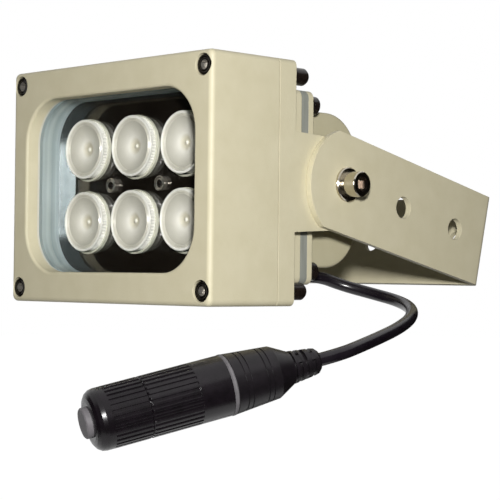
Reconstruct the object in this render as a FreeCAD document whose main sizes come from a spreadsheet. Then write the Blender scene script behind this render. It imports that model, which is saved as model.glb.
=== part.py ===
import FreeCAD, Part
import math
import os
import Sketcher
from FreeCAD import Placement, Rotation, Vector

# Infrared illuminator: a cast lamp head on a U-shaped wall bracket, with a short supply
# cord. X runs to the right, Y from the lamp's face to the wall, Z up. The origin is the
# middle of the bracket's wall face. The lamp looks level, so the bracket slopes.

doc = FreeCAD.newDocument("infrared_illuminator")
sheet = doc.addObject("Spreadsheet::Sheet", "sizes")

SIZES = [
    ("front_width", 115.0, "lamp head, across the face"),
    ("front_height", 90.0, "lamp head, height of the face"),
    ("housing_depth", 33.5, "front housing, face to seam"),
    ("corner_round", 2.4, "long outer edges of the castings"),
    ("face_round", 1.8, "edge round the face"),
    ("window_width", 97.0, "opening in the face"),
    ("window_height", 66.8, "opening in the face"),
    ("window_round", 17.0, "corners of the opening"),
    ("window_lip", 1.1, "rounded lip of the opening"),
    ("front_wall", 5.4, "thickness of the face"),
    ("side_ledge", 4.2, "cavity beyond the opening, left and right"),
    ("top_ledge", 4.8, "cavity beyond the opening, above and below"),
    ("cavity_round", 21.0, "corners of the cavity"),
    ("fit_gap", 0.2, "clearance round what drops into the cavity"),
    ("seal_thickness", 0.9, "rubber ring in front of the glass"),
    ("glass_thickness", 3.0, "window glass"),
    ("board_depth", 17.6, "face to the front of the LED board"),
    ("board_thickness", 1.6, "LED board"),
    ("spreader_thickness", 3.0, "aluminium plate behind the LED board"),
    ("lens_pitch", 28.2, "lens to lens, both ways"),
    ("lens_diameter", 23.5, "rim of a lens"),
    ("lens_height", 5.1, "board to rim"),
    ("lens_rim", 1.3, "flat rim round the dished front"),
    ("lens_dish", 3.6, "depth of the dish"),
    ("lens_step", 1.8, "depth of the rim, where the lens narrows"),
    ("lens_undercut", 0.4, "how much it narrows"),
    ("holder_height", 1.4, "ring that holds a lens"),
    ("holder_wall", 0.7, "ring that holds a lens"),
    ("emitter_diameter", 6.4, "base of an LED"),
    ("emitter_height", 0.9, "base of an LED"),
    ("dome_diameter", 3.6, "silicone dome of an LED"),
    ("board_screw", 3.0, "screws that hold the LED board"),
    ("board_screw_head", 5.6, "their heads"),
    ("board_screw_length", 6.4, "their shanks"),
    ("standoff_length", 9.0, "posts between spreader and driver board"),
    ("standoff_diameter", 5.0, "posts between spreader and driver board"),
    ("driver_width", 72.0, "driver board"),
    ("driver_height", 42.0, "driver board"),
    ("driver_thickness", 1.6, "driver board"),
    ("coil_diameter", 17.0, "coil on the driver board"),
    ("coil_height", 9.0, "coil on the driver board"),
    ("capacitor_diameter", 10.0, "two capacitors on the driver board"),
    ("capacitor_height", 11.0, "two capacitors on the driver board"),
    ("capacitor_pitch", 17.0, "two capacitors on the driver board"),
    ("seam_thickness", 0.3, "gasket between housing and rear cover"),
    ("seam_inset", 0.3, "how far that gasket stays inside the castings"),
    ("cover_thickness", 8.8, "rear cover, seam to back face"),
    ("cover_chamfer", 0.5, "its back edge"),
    ("boss_height", 8.7, "raised back of the rear cover"),
    ("boss_play", 0.5, "gap between the back flange and an ear"),
    ("back_margin", 8.7, "lamp above and below boss, gasket and flange"),
    ("back_drop", 0.9, "how far their middle lies below the lamp's"),
    ("back_round", 3.0, "their corners"),
    ("access_width", 84.0, "opening behind the driver board"),
    ("access_height", 52.0, "opening behind the driver board"),
    ("access_round", 8.0, "its corners"),
    ("ear_thickness", 6.0, "pivot ears of the rear cover"),
    ("ear_half_height", 18.6, "half the height of an ear where it leaves the cover"),
    ("ear_end", 17.0, "radius of an ear's end, about the tilt axis"),
    ("pivot_depth", 67.4, "face to tilt axis"),
    ("pivot_rise", 0.45, "tilt axis above the lamp's middle"),
    ("gasket_thickness", 4.2, "grey rubber behind the boss"),
    ("flange_thickness", 3.8, "flange of the pod cover"),
    ("flange_chamfer", 1.2, "its back edge"),
    ("pod_half_width", 43.6, "middle of the pod to its sides"),
    ("pod_margin", 6.5, "flange above and below the pod"),
    ("pod_reach", 31.7, "pod behind the flange"),
    ("pod_round", 17.0, "its upper and lower back edges"),
    ("pod_wall", 3.0, "pod wall"),
    ("pod_edge", 1.2, "rounded side edges of the pod"),
    ("pod_screw_side", 3.6, "screws of the pod cover to the flange's sides"),
    ("pod_screw_level", 5.1, "screws of the pod cover to its top and bottom"),
    ("seat_depth", 0.2, "seats of the pod screws in the flange"),
    ("seat_margin", 0.7, "seat and pod round the head of a pod screw"),
    ("corner_screw_side", 4.7, "screws through the corners to the lamp's sides"),
    ("corner_screw_level", 5.4, "screws through the corners to its top and bottom"),
    ("screw", 4.0, "corner and pod screws"),
    ("screw_head", 7.0, "their heads"),
    ("screw_head_height", 4.0, "heads of the corner screws"),
    ("pod_head_height", 2.9, "heads of the pod screws"),
    ("screw_socket", 3.0, "hexagon sockets, across flats"),
    ("screw_socket_depth", 2.2, "hexagon sockets"),
    ("counterbore", 7.9, "where the corner screws sink in"),
    ("counterbore_depth", 4.6, "where the corner screws sink in"),
    ("pod_screw_length", 11.0, "shank of a pod screw"),
    ("nut_diameter", 6.5, "black cap nut"),
    ("nut_flange", 6.9, "black cap nut"),
    ("nut_height", 8.8, "black cap nut"),
    ("nut_thread", 5.0, "screw thread inside a cap nut"),
    ("nut_flange_height", 0.8, "black cap nut"),
    ("nut_dome", 1.6, "rounded end of a cap nut"),
    ("edge_break", 0.4, "small chamfer on turned pieces"),
    ("hole_play", 0.1, "radial gap between a screw and its hole"),
    ("pivot_screw", 6.0, "tilt bolts"),
    ("pivot_head", 9.5, "tilt bolts"),
    ("pivot_head_height", 6.4, "tilt bolts"),
    ("pivot_socket", 5.0, "tilt bolts, across flats"),
    ("washer_diameter", 13.0, "washers of the tilt bolts"),
    ("washer_thickness", 1.2, "washers of the tilt bolts"),
    ("pivot_play", 0.08, "running gap at the tilt joint"),
    ("bracket_thickness", 2.5, "bent steel strip"),
    ("bracket_width", 37.0, "bent steel strip"),
    ("bracket_end", 21.0, "radius of the arm ends"),
    ("bracket_end_shift", 1.3, "tilt axis to the centre of that radius"),
    ("bracket_reach", 87.0, "tilt axis to wall face"),
    ("bracket_bend", 0.6, "inside bend"),
    ("spare_hole", 8.6, "spare pivot holes in the arms"),
    ("first_spare", 33.4, "tilt axis to first spare hole"),
    ("second_spare", 66.2, "tilt axis to second spare hole"),
    ("wall_hole", 8.2, "holes for the wall screws"),
    ("wall_hole_pitch", 46.5, "middle to outer wall hole"),
    ("tilt_angle", 13.0, "slope of the bracket below the lamp's axis, in degrees"),
    ("grommet_x", 39.0, "cord exit, from the middle"),
    ("grommet_gap", 0.3, "pod to the grommet below it"),
    ("grommet_diameter", 5.2, "collar of the grommet"),
    ("grommet_length", 2.6, "collar of the grommet"),
    ("grommet_lug", 4.2, "radius of the flange's lug round the grommet"),
    ("cord_diameter", 4.6, "supply cord"),
    ("exit_run", 12.0, "straight cord behind the grommet"),
    ("relief_nose", 2.6, "rounded end of the socket's strain relief"),
    ("relief_length", 8.2, "strain relief, rounded end to shoulder"),
    ("relief_radius", 4.65, "strain relief at its rounded end"),
    ("relief_end_radius", 5.65, "strain relief at the shoulder"),
    ("first_slot", 2.7, "end of the cord to the first row of slots"),
    ("second_slot", 5.6, "end of the cord to the second row"),
    ("third_slot", 7.85, "end of the cord to the third row"),
    ("slot_width", 1.25, "slots, along the cord"),
    ("last_slot_width", 0.7, "slots of the last row, at the shoulder"),
    ("slot_depth", 1.1, "slots"),
    ("slot_bridge", 2.6, "bridges between the two slots of a row"),
    ("bridge_turn", 26.0, "how far the bridges of the first row are turned, in degrees"),
    ("cone_length", 6.2, "shoulder of the socket"),
    ("cone_round", 0.9, "its rounded end"),
    ("shoulder_radius", 8.9, "barrel of the socket at the shoulder"),
    ("barrel_length", 16.1, "barrel of the socket"),
    ("socket_radius", 10.2, "barrel of the socket at the sealing ring"),
    ("groove_width", 0.5, "ring grooves of the socket"),
    ("groove_depth", 0.3, "ring grooves of the socket"),
    ("groove_pitch", 1.9, "the two grooves of a pair"),
    ("groove_inset", 3.0, "a pair of grooves to the nearer end of the barrel"),
    ("nose_radius", 8.5, "threaded nose of the socket"),
    ("nose_length", 9.0, "threaded nose of the socket"),
    ("ring_thickness", 1.5, "grey sealing ring"),
    ("ring_stand", 0.1, "how far it stands out of the coupling ring"),
    ("coupling_radius", 10.2, "coupling ring and clamp nut"),
    ("coupling_length", 27.9, "coupling ring"),
    ("grip_length", 17.0, "grip grooves of the coupling ring"),
    ("nut_grip_length", 12.7, "grip grooves of the clamp nut"),
    ("grip_width", 1.0, "grip grooves"),
    ("grip_depth", 0.45, "grip grooves"),
    ("coupling_wall", 1.8, "back wall of the coupling ring"),
    ("insert_radius", 7.0, "front of the plug body"),
    ("insert_wall", 4.0, "floor that holds the contact pins"),
    ("collar_thickness", 2.0, "collar that holds the coupling ring"),
    ("tail_radius", 7.5, "threaded tail of the plug body"),
    ("tail_length", 9.0, "how far the tail reaches into the clamp nut"),
    ("clamp_length", 20.3, "clamp nut"),
    ("clamp_round", 3.6, "rounded end of the clamp nut"),
    ("seal_radius", 5.05, "grey sealing plug"),
    ("seal_flange", 3.8, "its flange, which the nut presses on the tail"),
    ("seal_stand", 0.3, "how far it stands out"),
    ("seal_gap", 0.6, "gap round it inside the plug body"),
    ("pin_diameter", 1.5, "contact pins"),
    ("pin_circle", 3.0, "radius of the circle they stand on"),
    ("pin_reach", 5.0, "how far they reach into the socket"),
    ("turn_play", 0.05, "radial gap of the parts that turn on the connector"),
    ("end_play", 0.1, "gap between their faces"),
]

for row, (name, value, note) in enumerate(SIZES, start=1):
    sheet.set(f"A{row}", name)
    sheet.set(f"B{row}", str(value))
    sheet.set(f"C{row}", note)
    sheet.setAlias(f"B{row}", name)
doc.recompute()


class Size:
    """A size that is known as a number and as a formula on the sheet."""

    def __init__(self, value, formula):
        self.value = float(value)
        self.formula = formula

    def __add__(self, other):
        other = as_size(other)
        return Size(self.value + other.value, f"({self.formula} + {other.formula})")

    def __sub__(self, other):
        other = as_size(other)
        return Size(self.value - other.value, f"({self.formula} - {other.formula})")

    def __mul__(self, factor):
        return Size(self.value * factor, f"({self.formula} * {factor})")

    def __truediv__(self, divisor):
        return Size(self.value / divisor, f"({self.formula} / {divisor})")

    def __neg__(self):
        return Size(-self.value, f"(0 - {self.formula})")


def as_size(number):
    if isinstance(number, Size):
        return number
    return Size(number, str(number))


def sine(angle):
    return Size(math.sin(math.radians(angle.value)), f"sin({angle.formula})")


def cosine(angle):
    return Size(math.cos(math.radians(angle.value)), f"cos({angle.formula})")


def product(first, second):
    return Size(first.value * second.value, f"({first.formula} * {second.formula})")


def ratio(first, second):
    return Size(first.value / second.value, f"({first.formula} / {second.formula})")


class Sizes:
    """The sheet's named values, as attributes."""


s = Sizes()
for name, value, note in SIZES:
    setattr(s, name, Size(value, f"sizes.{name}"))

# Places that several pieces share. Depths are measured from the lamp's face.
half_width = s.front_width / 2
half_height = s.front_height / 2
cavity_width = s.window_width + s.side_ledge * 2
cavity_height = s.window_height + s.top_ledge * 2
corner_screw_x = half_width - s.corner_screw_side
corner_screw_z = half_height - s.corner_screw_level
glass_depth = s.front_wall + s.seal_thickness
retainer_depth = glass_depth + s.glass_thickness
lens_depth = s.board_depth - s.lens_height
spreader_depth = s.board_depth + s.board_thickness
standoff_depth = spreader_depth + s.spreader_thickness
driver_depth = standoff_depth + s.standoff_length
cover_depth = s.housing_depth + s.seam_thickness
back_depth = cover_depth + s.cover_thickness
gasket_depth = back_depth + s.boss_height
flange_depth = gasket_depth + s.gasket_thickness
pod_depth = flange_depth + s.flange_thickness
ear_inner = half_width - s.ear_thickness
back_half_width = ear_inner - s.boss_play
back_height = s.front_height - s.back_margin * 2
pod_back = pod_depth + s.pod_reach
pod_screw_x = back_half_width - s.pod_screw_side
pod_screw_z = back_height / 2 - s.pod_screw_level
pod_seat = pod_depth - s.seat_depth
pod_half_height = back_height / 2 - s.pod_margin
screw_hole = s.screw / 2 + s.hole_play
arm_inner = half_width + s.pivot_play
arm_outer = arm_inner + s.bracket_thickness
washer_inner = arm_outer + s.pivot_play
washer_outer = washer_inner + s.washer_thickness
pivot_y = -product(s.bracket_reach, cosine(s.tilt_angle))
pivot_z = product(s.bracket_reach, sine(s.tilt_angle))
lamp_y = pivot_y - s.pivot_depth
lamp_z = pivot_z - s.pivot_rise
grommet_z = s.back_drop + pod_half_height + s.grommet_gap + s.grommet_diameter / 2
grommet_end = pod_depth + s.grommet_length

# Places along the connector, measured from the end of the cord.
relief_end = s.relief_nose + s.relief_length
slot_rows = [(s.first_slot, s.slot_width), (s.second_slot, s.slot_width),
             (s.third_slot, s.slot_width), (relief_end - s.last_slot_width, s.last_slot_width)]
shoulder = relief_end + s.cone_length
seal_face = shoulder + s.barrel_length
nose_end = seal_face + s.nose_length
coupling_start = seal_face + s.ring_thickness + s.end_play
coupling_end = coupling_start + s.coupling_length
clamp_start = coupling_end + s.end_play
clamp_end = clamp_start + s.clamp_length
tail_end = clamp_start + s.tail_length

GRIP_GROOVES = 32

nodes = []


# Tools of the model: sketches whose points are tied to the sheet, and features on them.

def bind(feature, path, size):
    feature.setExpression(path, as_size(size).formula)


def new_node(label, x=0, y=lamp_y, z=lamp_z):
    """A body whose own origin lies at the given place, the lamp's face unless told."""
    body = doc.addObject("PartDesign::Body", label)
    body.Label = label
    body.AllowCompound = True
    for axis, place in zip("xyz", (x, y, z)):
        bind(body, f"Placement.Base.{axis}", place)
    nodes.append(body)
    return body


def origin_feature(body, role):
    return [item for item in body.Origin.OriginFeatures if item.Role == role][0]


def new_sketch(body, role, offset=0):
    """A sketch on an origin plane, moved along the plane's normal by the offset."""
    sketch = body.newObject("Sketcher::SketchObject", "outline")
    sketch.AttachmentSupport = [(origin_feature(body, role), "")]
    sketch.MapMode = "FlatFace"
    bind(sketch, "AttachmentOffset.Base.z", offset)
    return sketch


def fix_point(sketch, piece, end, x, y):
    """Ties a point of the sketch to its two coordinates."""
    for kind, axis, place in (("DistanceX", -2, x), ("DistanceY", -1, y)):
        place = as_size(place)
        if place.formula == "0":
            sketch.addConstraint(Sketcher.Constraint("PointOnObject", piece, end, axis))
        else:
            index = sketch.addConstraint(Sketcher.Constraint(kind, -1, 1, piece, end, place.value))
            bind(sketch, f"Constraints[{index}]", place)


def polygon(sketch, points):
    """A closed outline of straight edges."""
    first = sketch.GeometryCount
    count = len(points)
    ends = [Vector(as_size(x).value, as_size(y).value, 0) for x, y in points]
    for index in range(count):
        sketch.addGeometry(Part.LineSegment(ends[index], ends[(index + 1) % count]), False)
    for index in range(count):
        following = first + (index + 1) % count
        sketch.addConstraint(Sketcher.Constraint("Coincident", first + index, 2, following, 1))
    for index, (x, y) in enumerate(points):
        fix_point(sketch, first + index, 1, x, y)


def circle(sketch, x, y, radius):
    x, y, radius = as_size(x), as_size(y), as_size(radius)
    centre = Vector(x.value, y.value, 0)
    piece = sketch.addGeometry(Part.Circle(centre, Vector(0, 0, 1), radius.value), False)
    fix_point(sketch, piece, 3, x, y)
    index = sketch.addConstraint(Sketcher.Constraint("Radius", piece, radius.value))
    bind(sketch, f"Constraints[{index}]", radius)


def hexagon(sketch, x, y, across_flats):
    """A hexagon with two flat sides upright."""
    flat = across_flats / 2
    corner = across_flats / math.sqrt(3)
    x, y = as_size(x), as_size(y)
    polygon(sketch, [(x + flat, y - corner / 2), (x + flat, y + corner / 2), (x, y + corner),
                     (x - flat, y + corner / 2), (x - flat, y - corner / 2), (x, y - corner)])


def rounded_rectangle(sketch, width, height, radius, y=0):
    """A rectangle with round corners, its middle on the upright axis at height y."""
    first = sketch.GeometryCount
    right, top, middle, round_ = (width / 2).value, (height / 2).value, as_size(y), radius.value
    low, high = middle.value - top, middle.value + top
    sides = [((round_ - right, low), (right - round_, low)),
             ((right, low + round_), (right, high - round_)),
             ((right - round_, high), (round_ - right, high)),
             ((-right, high - round_), (-right, low + round_))]
    for start, end in sides:
        sketch.addGeometry(Part.LineSegment(Vector(*start, 0), Vector(*end, 0)), False)
    centres = [(right - round_, low + round_, -90), (right - round_, high - round_, 0),
               (round_ - right, high - round_, 90), (round_ - right, low + round_, 180)]
    for x, y_, start in centres:
        full = Part.Circle(Vector(x, y_, 0), Vector(0, 0, 1), round_)
        angles = math.radians(start), math.radians(start + 90)
        sketch.addGeometry(Part.ArcOfCircle(full, *angles), False)
    for side in range(4):
        line, arc, following = first + side, first + 4 + side, first + (side + 1) % 4
        sketch.addConstraint(Sketcher.Constraint("Tangent", line, 2, arc, 1))
        sketch.addConstraint(Sketcher.Constraint("Tangent", arc, 2, following, 1))
        level = "Horizontal" if side % 2 == 0 else "Vertical"
        sketch.addConstraint(Sketcher.Constraint(level, line))
        if side:
            sketch.addConstraint(Sketcher.Constraint("Equal", first + 4, arc))
    limits = [("DistanceX", 1, width / 2), ("DistanceX", 3, -(width / 2)),
              ("DistanceY", 2, middle + height / 2), ("DistanceY", 0, middle - height / 2)]
    for kind, side, place in limits:
        constraint = Sketcher.Constraint(kind, -1, 1, first + side, 1, place.value)
        bind(sketch, f"Constraints[{sketch.addConstraint(constraint)}]", place)
    index = sketch.addConstraint(Sketcher.Constraint("Radius", first + 4, round_))
    bind(sketch, f"Constraints[{index}]", radius)


def tapered_round(sketch, start, centre, middle, root, radius):
    """An outline that narrows from its root and ends in an arc, tangent to both sides."""
    start, centre, middle, root, radius = map(as_size, (start, centre, middle, root, radius))
    low, high = middle - root, middle + root
    turn = math.asin((root.value - radius.value) / (centre.value - start.value))
    side = Vector(math.sin(turn), math.cos(turn), 0) * radius.value
    heart = Vector(centre.value, middle.value, 0)
    corners = [Vector(start.value, low.value, 0), heart + Vector(side.x, -side.y, 0), heart + side,
               Vector(start.value, high.value, 0)]
    first = sketch.GeometryCount
    full = Part.Circle(heart, Vector(0, 0, 1), radius.value)
    sketch.addGeometry(Part.LineSegment(corners[0], corners[1]), False)
    sketch.addGeometry(Part.ArcOfCircle(full, turn - math.pi / 2, math.pi / 2 - turn), False)
    sketch.addGeometry(Part.LineSegment(corners[2], corners[3]), False)
    sketch.addGeometry(Part.LineSegment(corners[3], corners[0]), False)
    arc = first + 1
    sketch.addConstraint(Sketcher.Constraint("Tangent", first, 2, arc, 1))
    sketch.addConstraint(Sketcher.Constraint("Tangent", arc, 2, first + 2, 1))
    sketch.addConstraint(Sketcher.Constraint("Coincident", first + 2, 2, first + 3, 1))
    sketch.addConstraint(Sketcher.Constraint("Coincident", first + 3, 2, first, 1))
    fix_point(sketch, arc, 3, centre, middle)
    fix_point(sketch, first, 1, start, low)
    fix_point(sketch, first + 3, 1, start, high)
    index = sketch.addConstraint(Sketcher.Constraint("Radius", arc, radius.value))
    bind(sketch, f"Constraints[{index}]", radius)


def settle(body, feature, must_grow):
    """Recomputes the feature and makes sure that it added, or took away, material."""
    before = body.Shape.Volume if not body.Shape.isNull() else 0.0
    body.Tip = feature
    doc.recompute()
    change = body.Shape.Volume - before
    if must_grow and change <= 0 or not must_grow and change >= 0:
        raise RuntimeError(f"{body.Label}: {feature.Label} changed nothing ({change})")
    return feature


def pad(body, sketch, length, reverse=False, middle=False):
    feature = body.newObject("PartDesign::Pad", "pad")
    feature.Profile = sketch
    feature.Reversed = reverse
    feature.Midplane = middle
    bind(feature, "Length", length)
    return settle(body, feature, True)


def pocket(body, sketch, length, reverse=False, middle=False):
    feature = body.newObject("PartDesign::Pocket", "pocket")
    feature.Profile = sketch
    feature.Reversed = reverse
    feature.Midplane = middle
    bind(feature, "Length", length)
    return settle(body, feature, False)


def slab(body, draw, depth, thickness):
    """Adds the drawn outline, from a depth behind the lamp's face towards the back."""
    sketch = new_sketch(body, "XZ_Plane", -as_size(depth))
    draw(sketch)
    return pad(body, sketch, thickness, reverse=True)


def recess(body, draw, depth, thickness):
    """Cuts the drawn outline, from a depth behind the lamp's face towards the back."""
    sketch = new_sketch(body, "XZ_Plane", -as_size(depth))
    draw(sketch)
    return pocket(body, sketch, thickness)


def turned(body, points):
    """Turns an outline of (radius, place along the axis) about the body's Y axis."""
    sketch = new_sketch(body, "XY_Plane")
    polygon(sketch, points)
    feature = body.newObject("PartDesign::Revolution", "turned")
    feature.Profile = sketch
    feature.ReferenceAxis = (sketch, ["V_Axis"])
    feature.Angle = 360
    return settle(body, feature, True)


def dress(body, kind, wanted, amount, inside=False):
    """Rounds or chamfers the edges whose middle passes the test."""
    tip = body.Tip
    names = []
    for number, edge in enumerate(tip.Shape.Edges, start=1):
        if wanted(edge, edge.valueAt((edge.FirstParameter + edge.LastParameter) / 2)):
            names.append(f"Edge{number}")
    if not names:
        raise RuntimeError(f"{body.Label}: no edge to dress")
    feature = body.newObject(f"PartDesign::{kind}", kind.lower())
    feature.Base = (tip, names)
    bind(feature, "Radius" if kind == "Fillet" else "Size", amount)
    return settle(body, feature, inside)


def near(first, second):
    return abs(first - as_size(second).value) < 0.01


def runs_along(edge, axis):
    """Whether a straight edge runs along an axis, given as 0, 1 or 2."""
    if edge.Curve.TypeId != "Part::GeomLine":
        return False
    return abs(edge.tangentAt(edge.FirstParameter)[axis]) > 0.999


def four_corners(body, features, width, height):
    """Repeats features at the four corners of a rectangle, from its lower left one."""
    pattern = body.newObject("PartDesign::MultiTransform", "corners")
    pattern.Originals = features
    rows = []
    for role, length in (("X_Axis", width), ("Z_Axis", height)):
        row = body.newObject("PartDesign::LinearPattern", "row")
        row.Direction = (origin_feature(body, role), [""])
        row.Occurrences = 2
        bind(row, "Length", length)
        rows.append(row)
    pattern.Transformations = rows
    return settle(body, pattern, True)


def corner_circles(sketch, x, z, radius, middle=0):
    for side in (-1, 1):
        for level in (-1, 1):
            circle(sketch, x * side, as_size(middle) + z * level, radius)


# Lamp head: castings.

def front_housing():
    body = new_node("front_housing")
    slab(body, lambda k: rounded_rectangle(k, s.front_width, s.front_height, s.corner_round),
         0, s.housing_depth)
    dress(body, "Fillet", lambda edge, p: near(p.y, 0), s.face_round)
    recess(body, lambda k: rounded_rectangle(k, cavity_width, cavity_height, s.cavity_round),
           s.front_wall, s.housing_depth - s.front_wall)
    recess(body, lambda k: rounded_rectangle(k, s.window_width, s.window_height, s.window_round),
           0, s.front_wall)
    inside = s.window_width.value / 2 + 0.01
    above = s.window_height.value / 2 + 0.01
    dress(body, "Fillet", lambda edge, p: near(p.y, 0) and abs(p.x) < inside and abs(p.z) < above,
          s.window_lip)
    recess(body, lambda k: corner_circles(k, corner_screw_x, corner_screw_z, s.counterbore / 2),
           0, s.counterbore_depth)
    recess(body, lambda k: corner_circles(k, corner_screw_x, corner_screw_z, screw_hole),
           0, s.housing_depth)


def seam_gasket():
    body = new_node("seam_gasket")
    width = s.front_width - s.seam_inset * 2
    height = s.front_height - s.seam_inset * 2
    slab(body, lambda k: rounded_rectangle(k, width, height, s.corner_round),
         s.housing_depth, s.seam_thickness)
    recess(body, lambda k: rounded_rectangle(k, cavity_width, cavity_height, s.cavity_round),
           s.housing_depth, s.seam_thickness)
    recess(body, lambda k: corner_circles(k, corner_screw_x, corner_screw_z, screw_hole),
           s.housing_depth, s.seam_thickness)


def rear_cover():
    """The back casting: plate, raised boss and the two pivot ears."""
    body = new_node("rear_cover")
    slab(body, lambda k: rounded_rectangle(k, s.front_width, s.front_height, s.corner_round),
         cover_depth, s.cover_thickness)
    dress(body, "Chamfer", lambda edge, p: near(p.y, back_depth), s.cover_chamfer)
    slab(body, lambda k: rounded_rectangle(k, ear_inner * 2, back_height, s.back_round,
                                           -s.back_drop), back_depth, s.boss_height)
    root = cover_depth + s.cover_thickness / 2
    for side in (-1, 1):
        sketch = new_sketch(body, "YZ_Plane", ear_inner * side)
        tapered_round(sketch, root, s.pivot_depth, s.pivot_rise, s.ear_half_height, s.ear_end)
        pad(body, sketch, s.ear_thickness, reverse=side < 0)
    sketch = new_sketch(body, "YZ_Plane")
    circle(sketch, s.pivot_depth, s.pivot_rise, s.pivot_screw / 2 + s.hole_play)
    pocket(body, sketch, s.front_width, middle=True)
    recess(body, lambda k: rounded_rectangle(k, s.access_width, s.access_height, s.access_round,
                                             -s.back_drop), cover_depth, gasket_depth - cover_depth)
    recess(body, lambda k: corner_circles(k, corner_screw_x, corner_screw_z, screw_hole),
           cover_depth, s.cover_thickness)
    recess(body, lambda k: corner_circles(k, pod_screw_x, pod_screw_z, screw_hole, -s.back_drop),
           pod_seat - s.pod_screw_length, gasket_depth - pod_seat + s.pod_screw_length)


def rear_gasket():
    body = new_node("rear_gasket")
    slab(body, lambda k: rounded_rectangle(k, back_half_width * 2, back_height, s.back_round,
                                           -s.back_drop), gasket_depth, s.gasket_thickness)
    recess(body, lambda k: rounded_rectangle(k, s.access_width, s.access_height, s.access_round,
                                             -s.back_drop), gasket_depth, s.gasket_thickness)
    recess(body, lambda k: corner_circles(k, pod_screw_x, pod_screw_z, screw_hole, -s.back_drop),
           gasket_depth, s.gasket_thickness)


def pod_box(body, start, end, inset, radius, feature):
    """Pads or pockets the pod's side view: a rectangle with two round corners at its end."""
    sketch = new_sketch(body, "YZ_Plane")
    middle = -s.back_drop
    half = pod_half_height - inset
    first = sketch.GeometryCount
    low, high = (middle - half).value, (middle + half).value
    near_y, far_y, round_ = as_size(start).value, as_size(end).value, radius.value
    pieces = [((near_y, low), (far_y - round_, low)), ((far_y, low + round_), (far_y, high - round_)),
              ((far_y - round_, high), (near_y, high)), ((near_y, high), (near_y, low))]
    for one, other in pieces:
        sketch.addGeometry(Part.LineSegment(Vector(*one, 0), Vector(*other, 0)), False)
    for height, turn in ((low + round_, -math.pi / 2), (high - round_, 0)):
        full = Part.Circle(Vector(far_y - round_, height, 0), Vector(0, 0, 1), round_)
        sketch.addGeometry(Part.ArcOfCircle(full, turn, turn + math.pi / 2), False)
    for line, arc, following in ((0, 4, 1), (1, 5, 2)):
        sketch.addConstraint(Sketcher.Constraint("Tangent", first + line, 2, first + arc, 1))
        sketch.addConstraint(Sketcher.Constraint("Tangent", first + arc, 2, first + following, 1))
    sketch.addConstraint(Sketcher.Constraint("Coincident", first + 2, 2, first + 3, 1))
    sketch.addConstraint(Sketcher.Constraint("Coincident", first + 3, 2, first, 1))
    sketch.addConstraint(Sketcher.Constraint("Vertical", first + 1))
    sketch.addConstraint(Sketcher.Constraint("Horizontal", first + 2))
    sketch.addConstraint(Sketcher.Constraint("Equal", first + 4, first + 5))
    fix_point(sketch, first, 1, start, middle - half)
    fix_point(sketch, first + 3, 1, start, middle + half)
    for constraint, size in ((("DistanceX", -1, 1, first + 1, 1, far_y), end),
                             (("Radius", first + 4, round_), radius)):
        index = sketch.addConstraint(Sketcher.Constraint(*constraint))
        bind(sketch, f"Constraints[{index}]", size)
    feature(body, sketch, (s.pod_half_width - inset) * 2, middle=True)


def pod_cover():
    """Flange with a round-backed pod, hollow and open towards the lamp."""
    body = new_node("pod_cover")
    slab(body, lambda k: rounded_rectangle(k, back_half_width * 2, back_height, s.back_round,
                                           -s.back_drop), flange_depth, s.flange_thickness)
    dress(body, "Chamfer", lambda edge, p: near(p.y, pod_depth), s.flange_chamfer)
    inside_flange = flange_depth + s.flange_thickness / 2
    pod_box(body, inside_flange, pod_back, as_size(0), s.pod_round, pad)
    side = s.pod_half_width.value
    dress(body, "Fillet", lambda edge, p: near(abs(p.x), side) and p.y > pod_depth.value + 0.1,
          s.pod_edge)
    pod_box(body, flange_depth, pod_back - s.pod_wall, s.pod_wall, s.pod_round - s.pod_wall, pocket)
    slab(body, lambda k: circle(k, s.grommet_x, -grommet_z, s.grommet_lug),
         flange_depth, s.flange_thickness)
    recess(body, lambda k: circle(k, s.grommet_x, -grommet_z, s.cord_diameter / 2 + s.turn_play),
           flange_depth, s.flange_thickness)
    recess(body, lambda k: corner_circles(k, pod_screw_x, pod_screw_z, screw_hole, -s.back_drop),
           flange_depth, s.flange_thickness)
    seat = s.screw_head / 2 + s.seat_margin
    recess(body, lambda k: corner_circles(k, pod_screw_x, pod_screw_z, seat, -s.back_drop),
           pod_seat, s.seat_depth + s.pod_head_height + s.seat_margin)


# Lamp head: window and light engine.

def cavity_piece(label, depth, thickness, opening=None):
    """A flat piece that fits the housing's cavity, with an opening of the given size."""
    body = new_node(label)
    width = cavity_width - s.fit_gap * 2
    height = cavity_height - s.fit_gap * 2
    slab(body, lambda k: rounded_rectangle(k, width, height, s.cavity_round - s.fit_gap),
         depth, thickness)
    if opening:
        recess(body, lambda k: rounded_rectangle(k, *opening), depth, thickness)
    return body


def window():
    clear = (s.window_width, s.window_height, s.window_round)
    cavity_piece("window_seal", s.front_wall, s.seal_thickness, clear)
    cavity_piece("window_glass", glass_depth, s.glass_thickness)
    cavity_piece("glass_retainer", retainer_depth, s.board_depth - retainer_depth, clear)


def board_screw_places(sketch, radius):
    for side in (-1, 1):
        circle(sketch, s.lens_pitch * (side / 2), 0, radius)


def light_board():
    hole = s.board_screw / 2 + s.hole_play
    for label, depth, thickness in (("led_board", s.board_depth, s.board_thickness),
                                    ("heat_spreader", spreader_depth, s.spreader_thickness)):
        body = cavity_piece(label, depth, thickness)
        recess(body, lambda k: board_screw_places(k, hole), depth, thickness)


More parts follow.
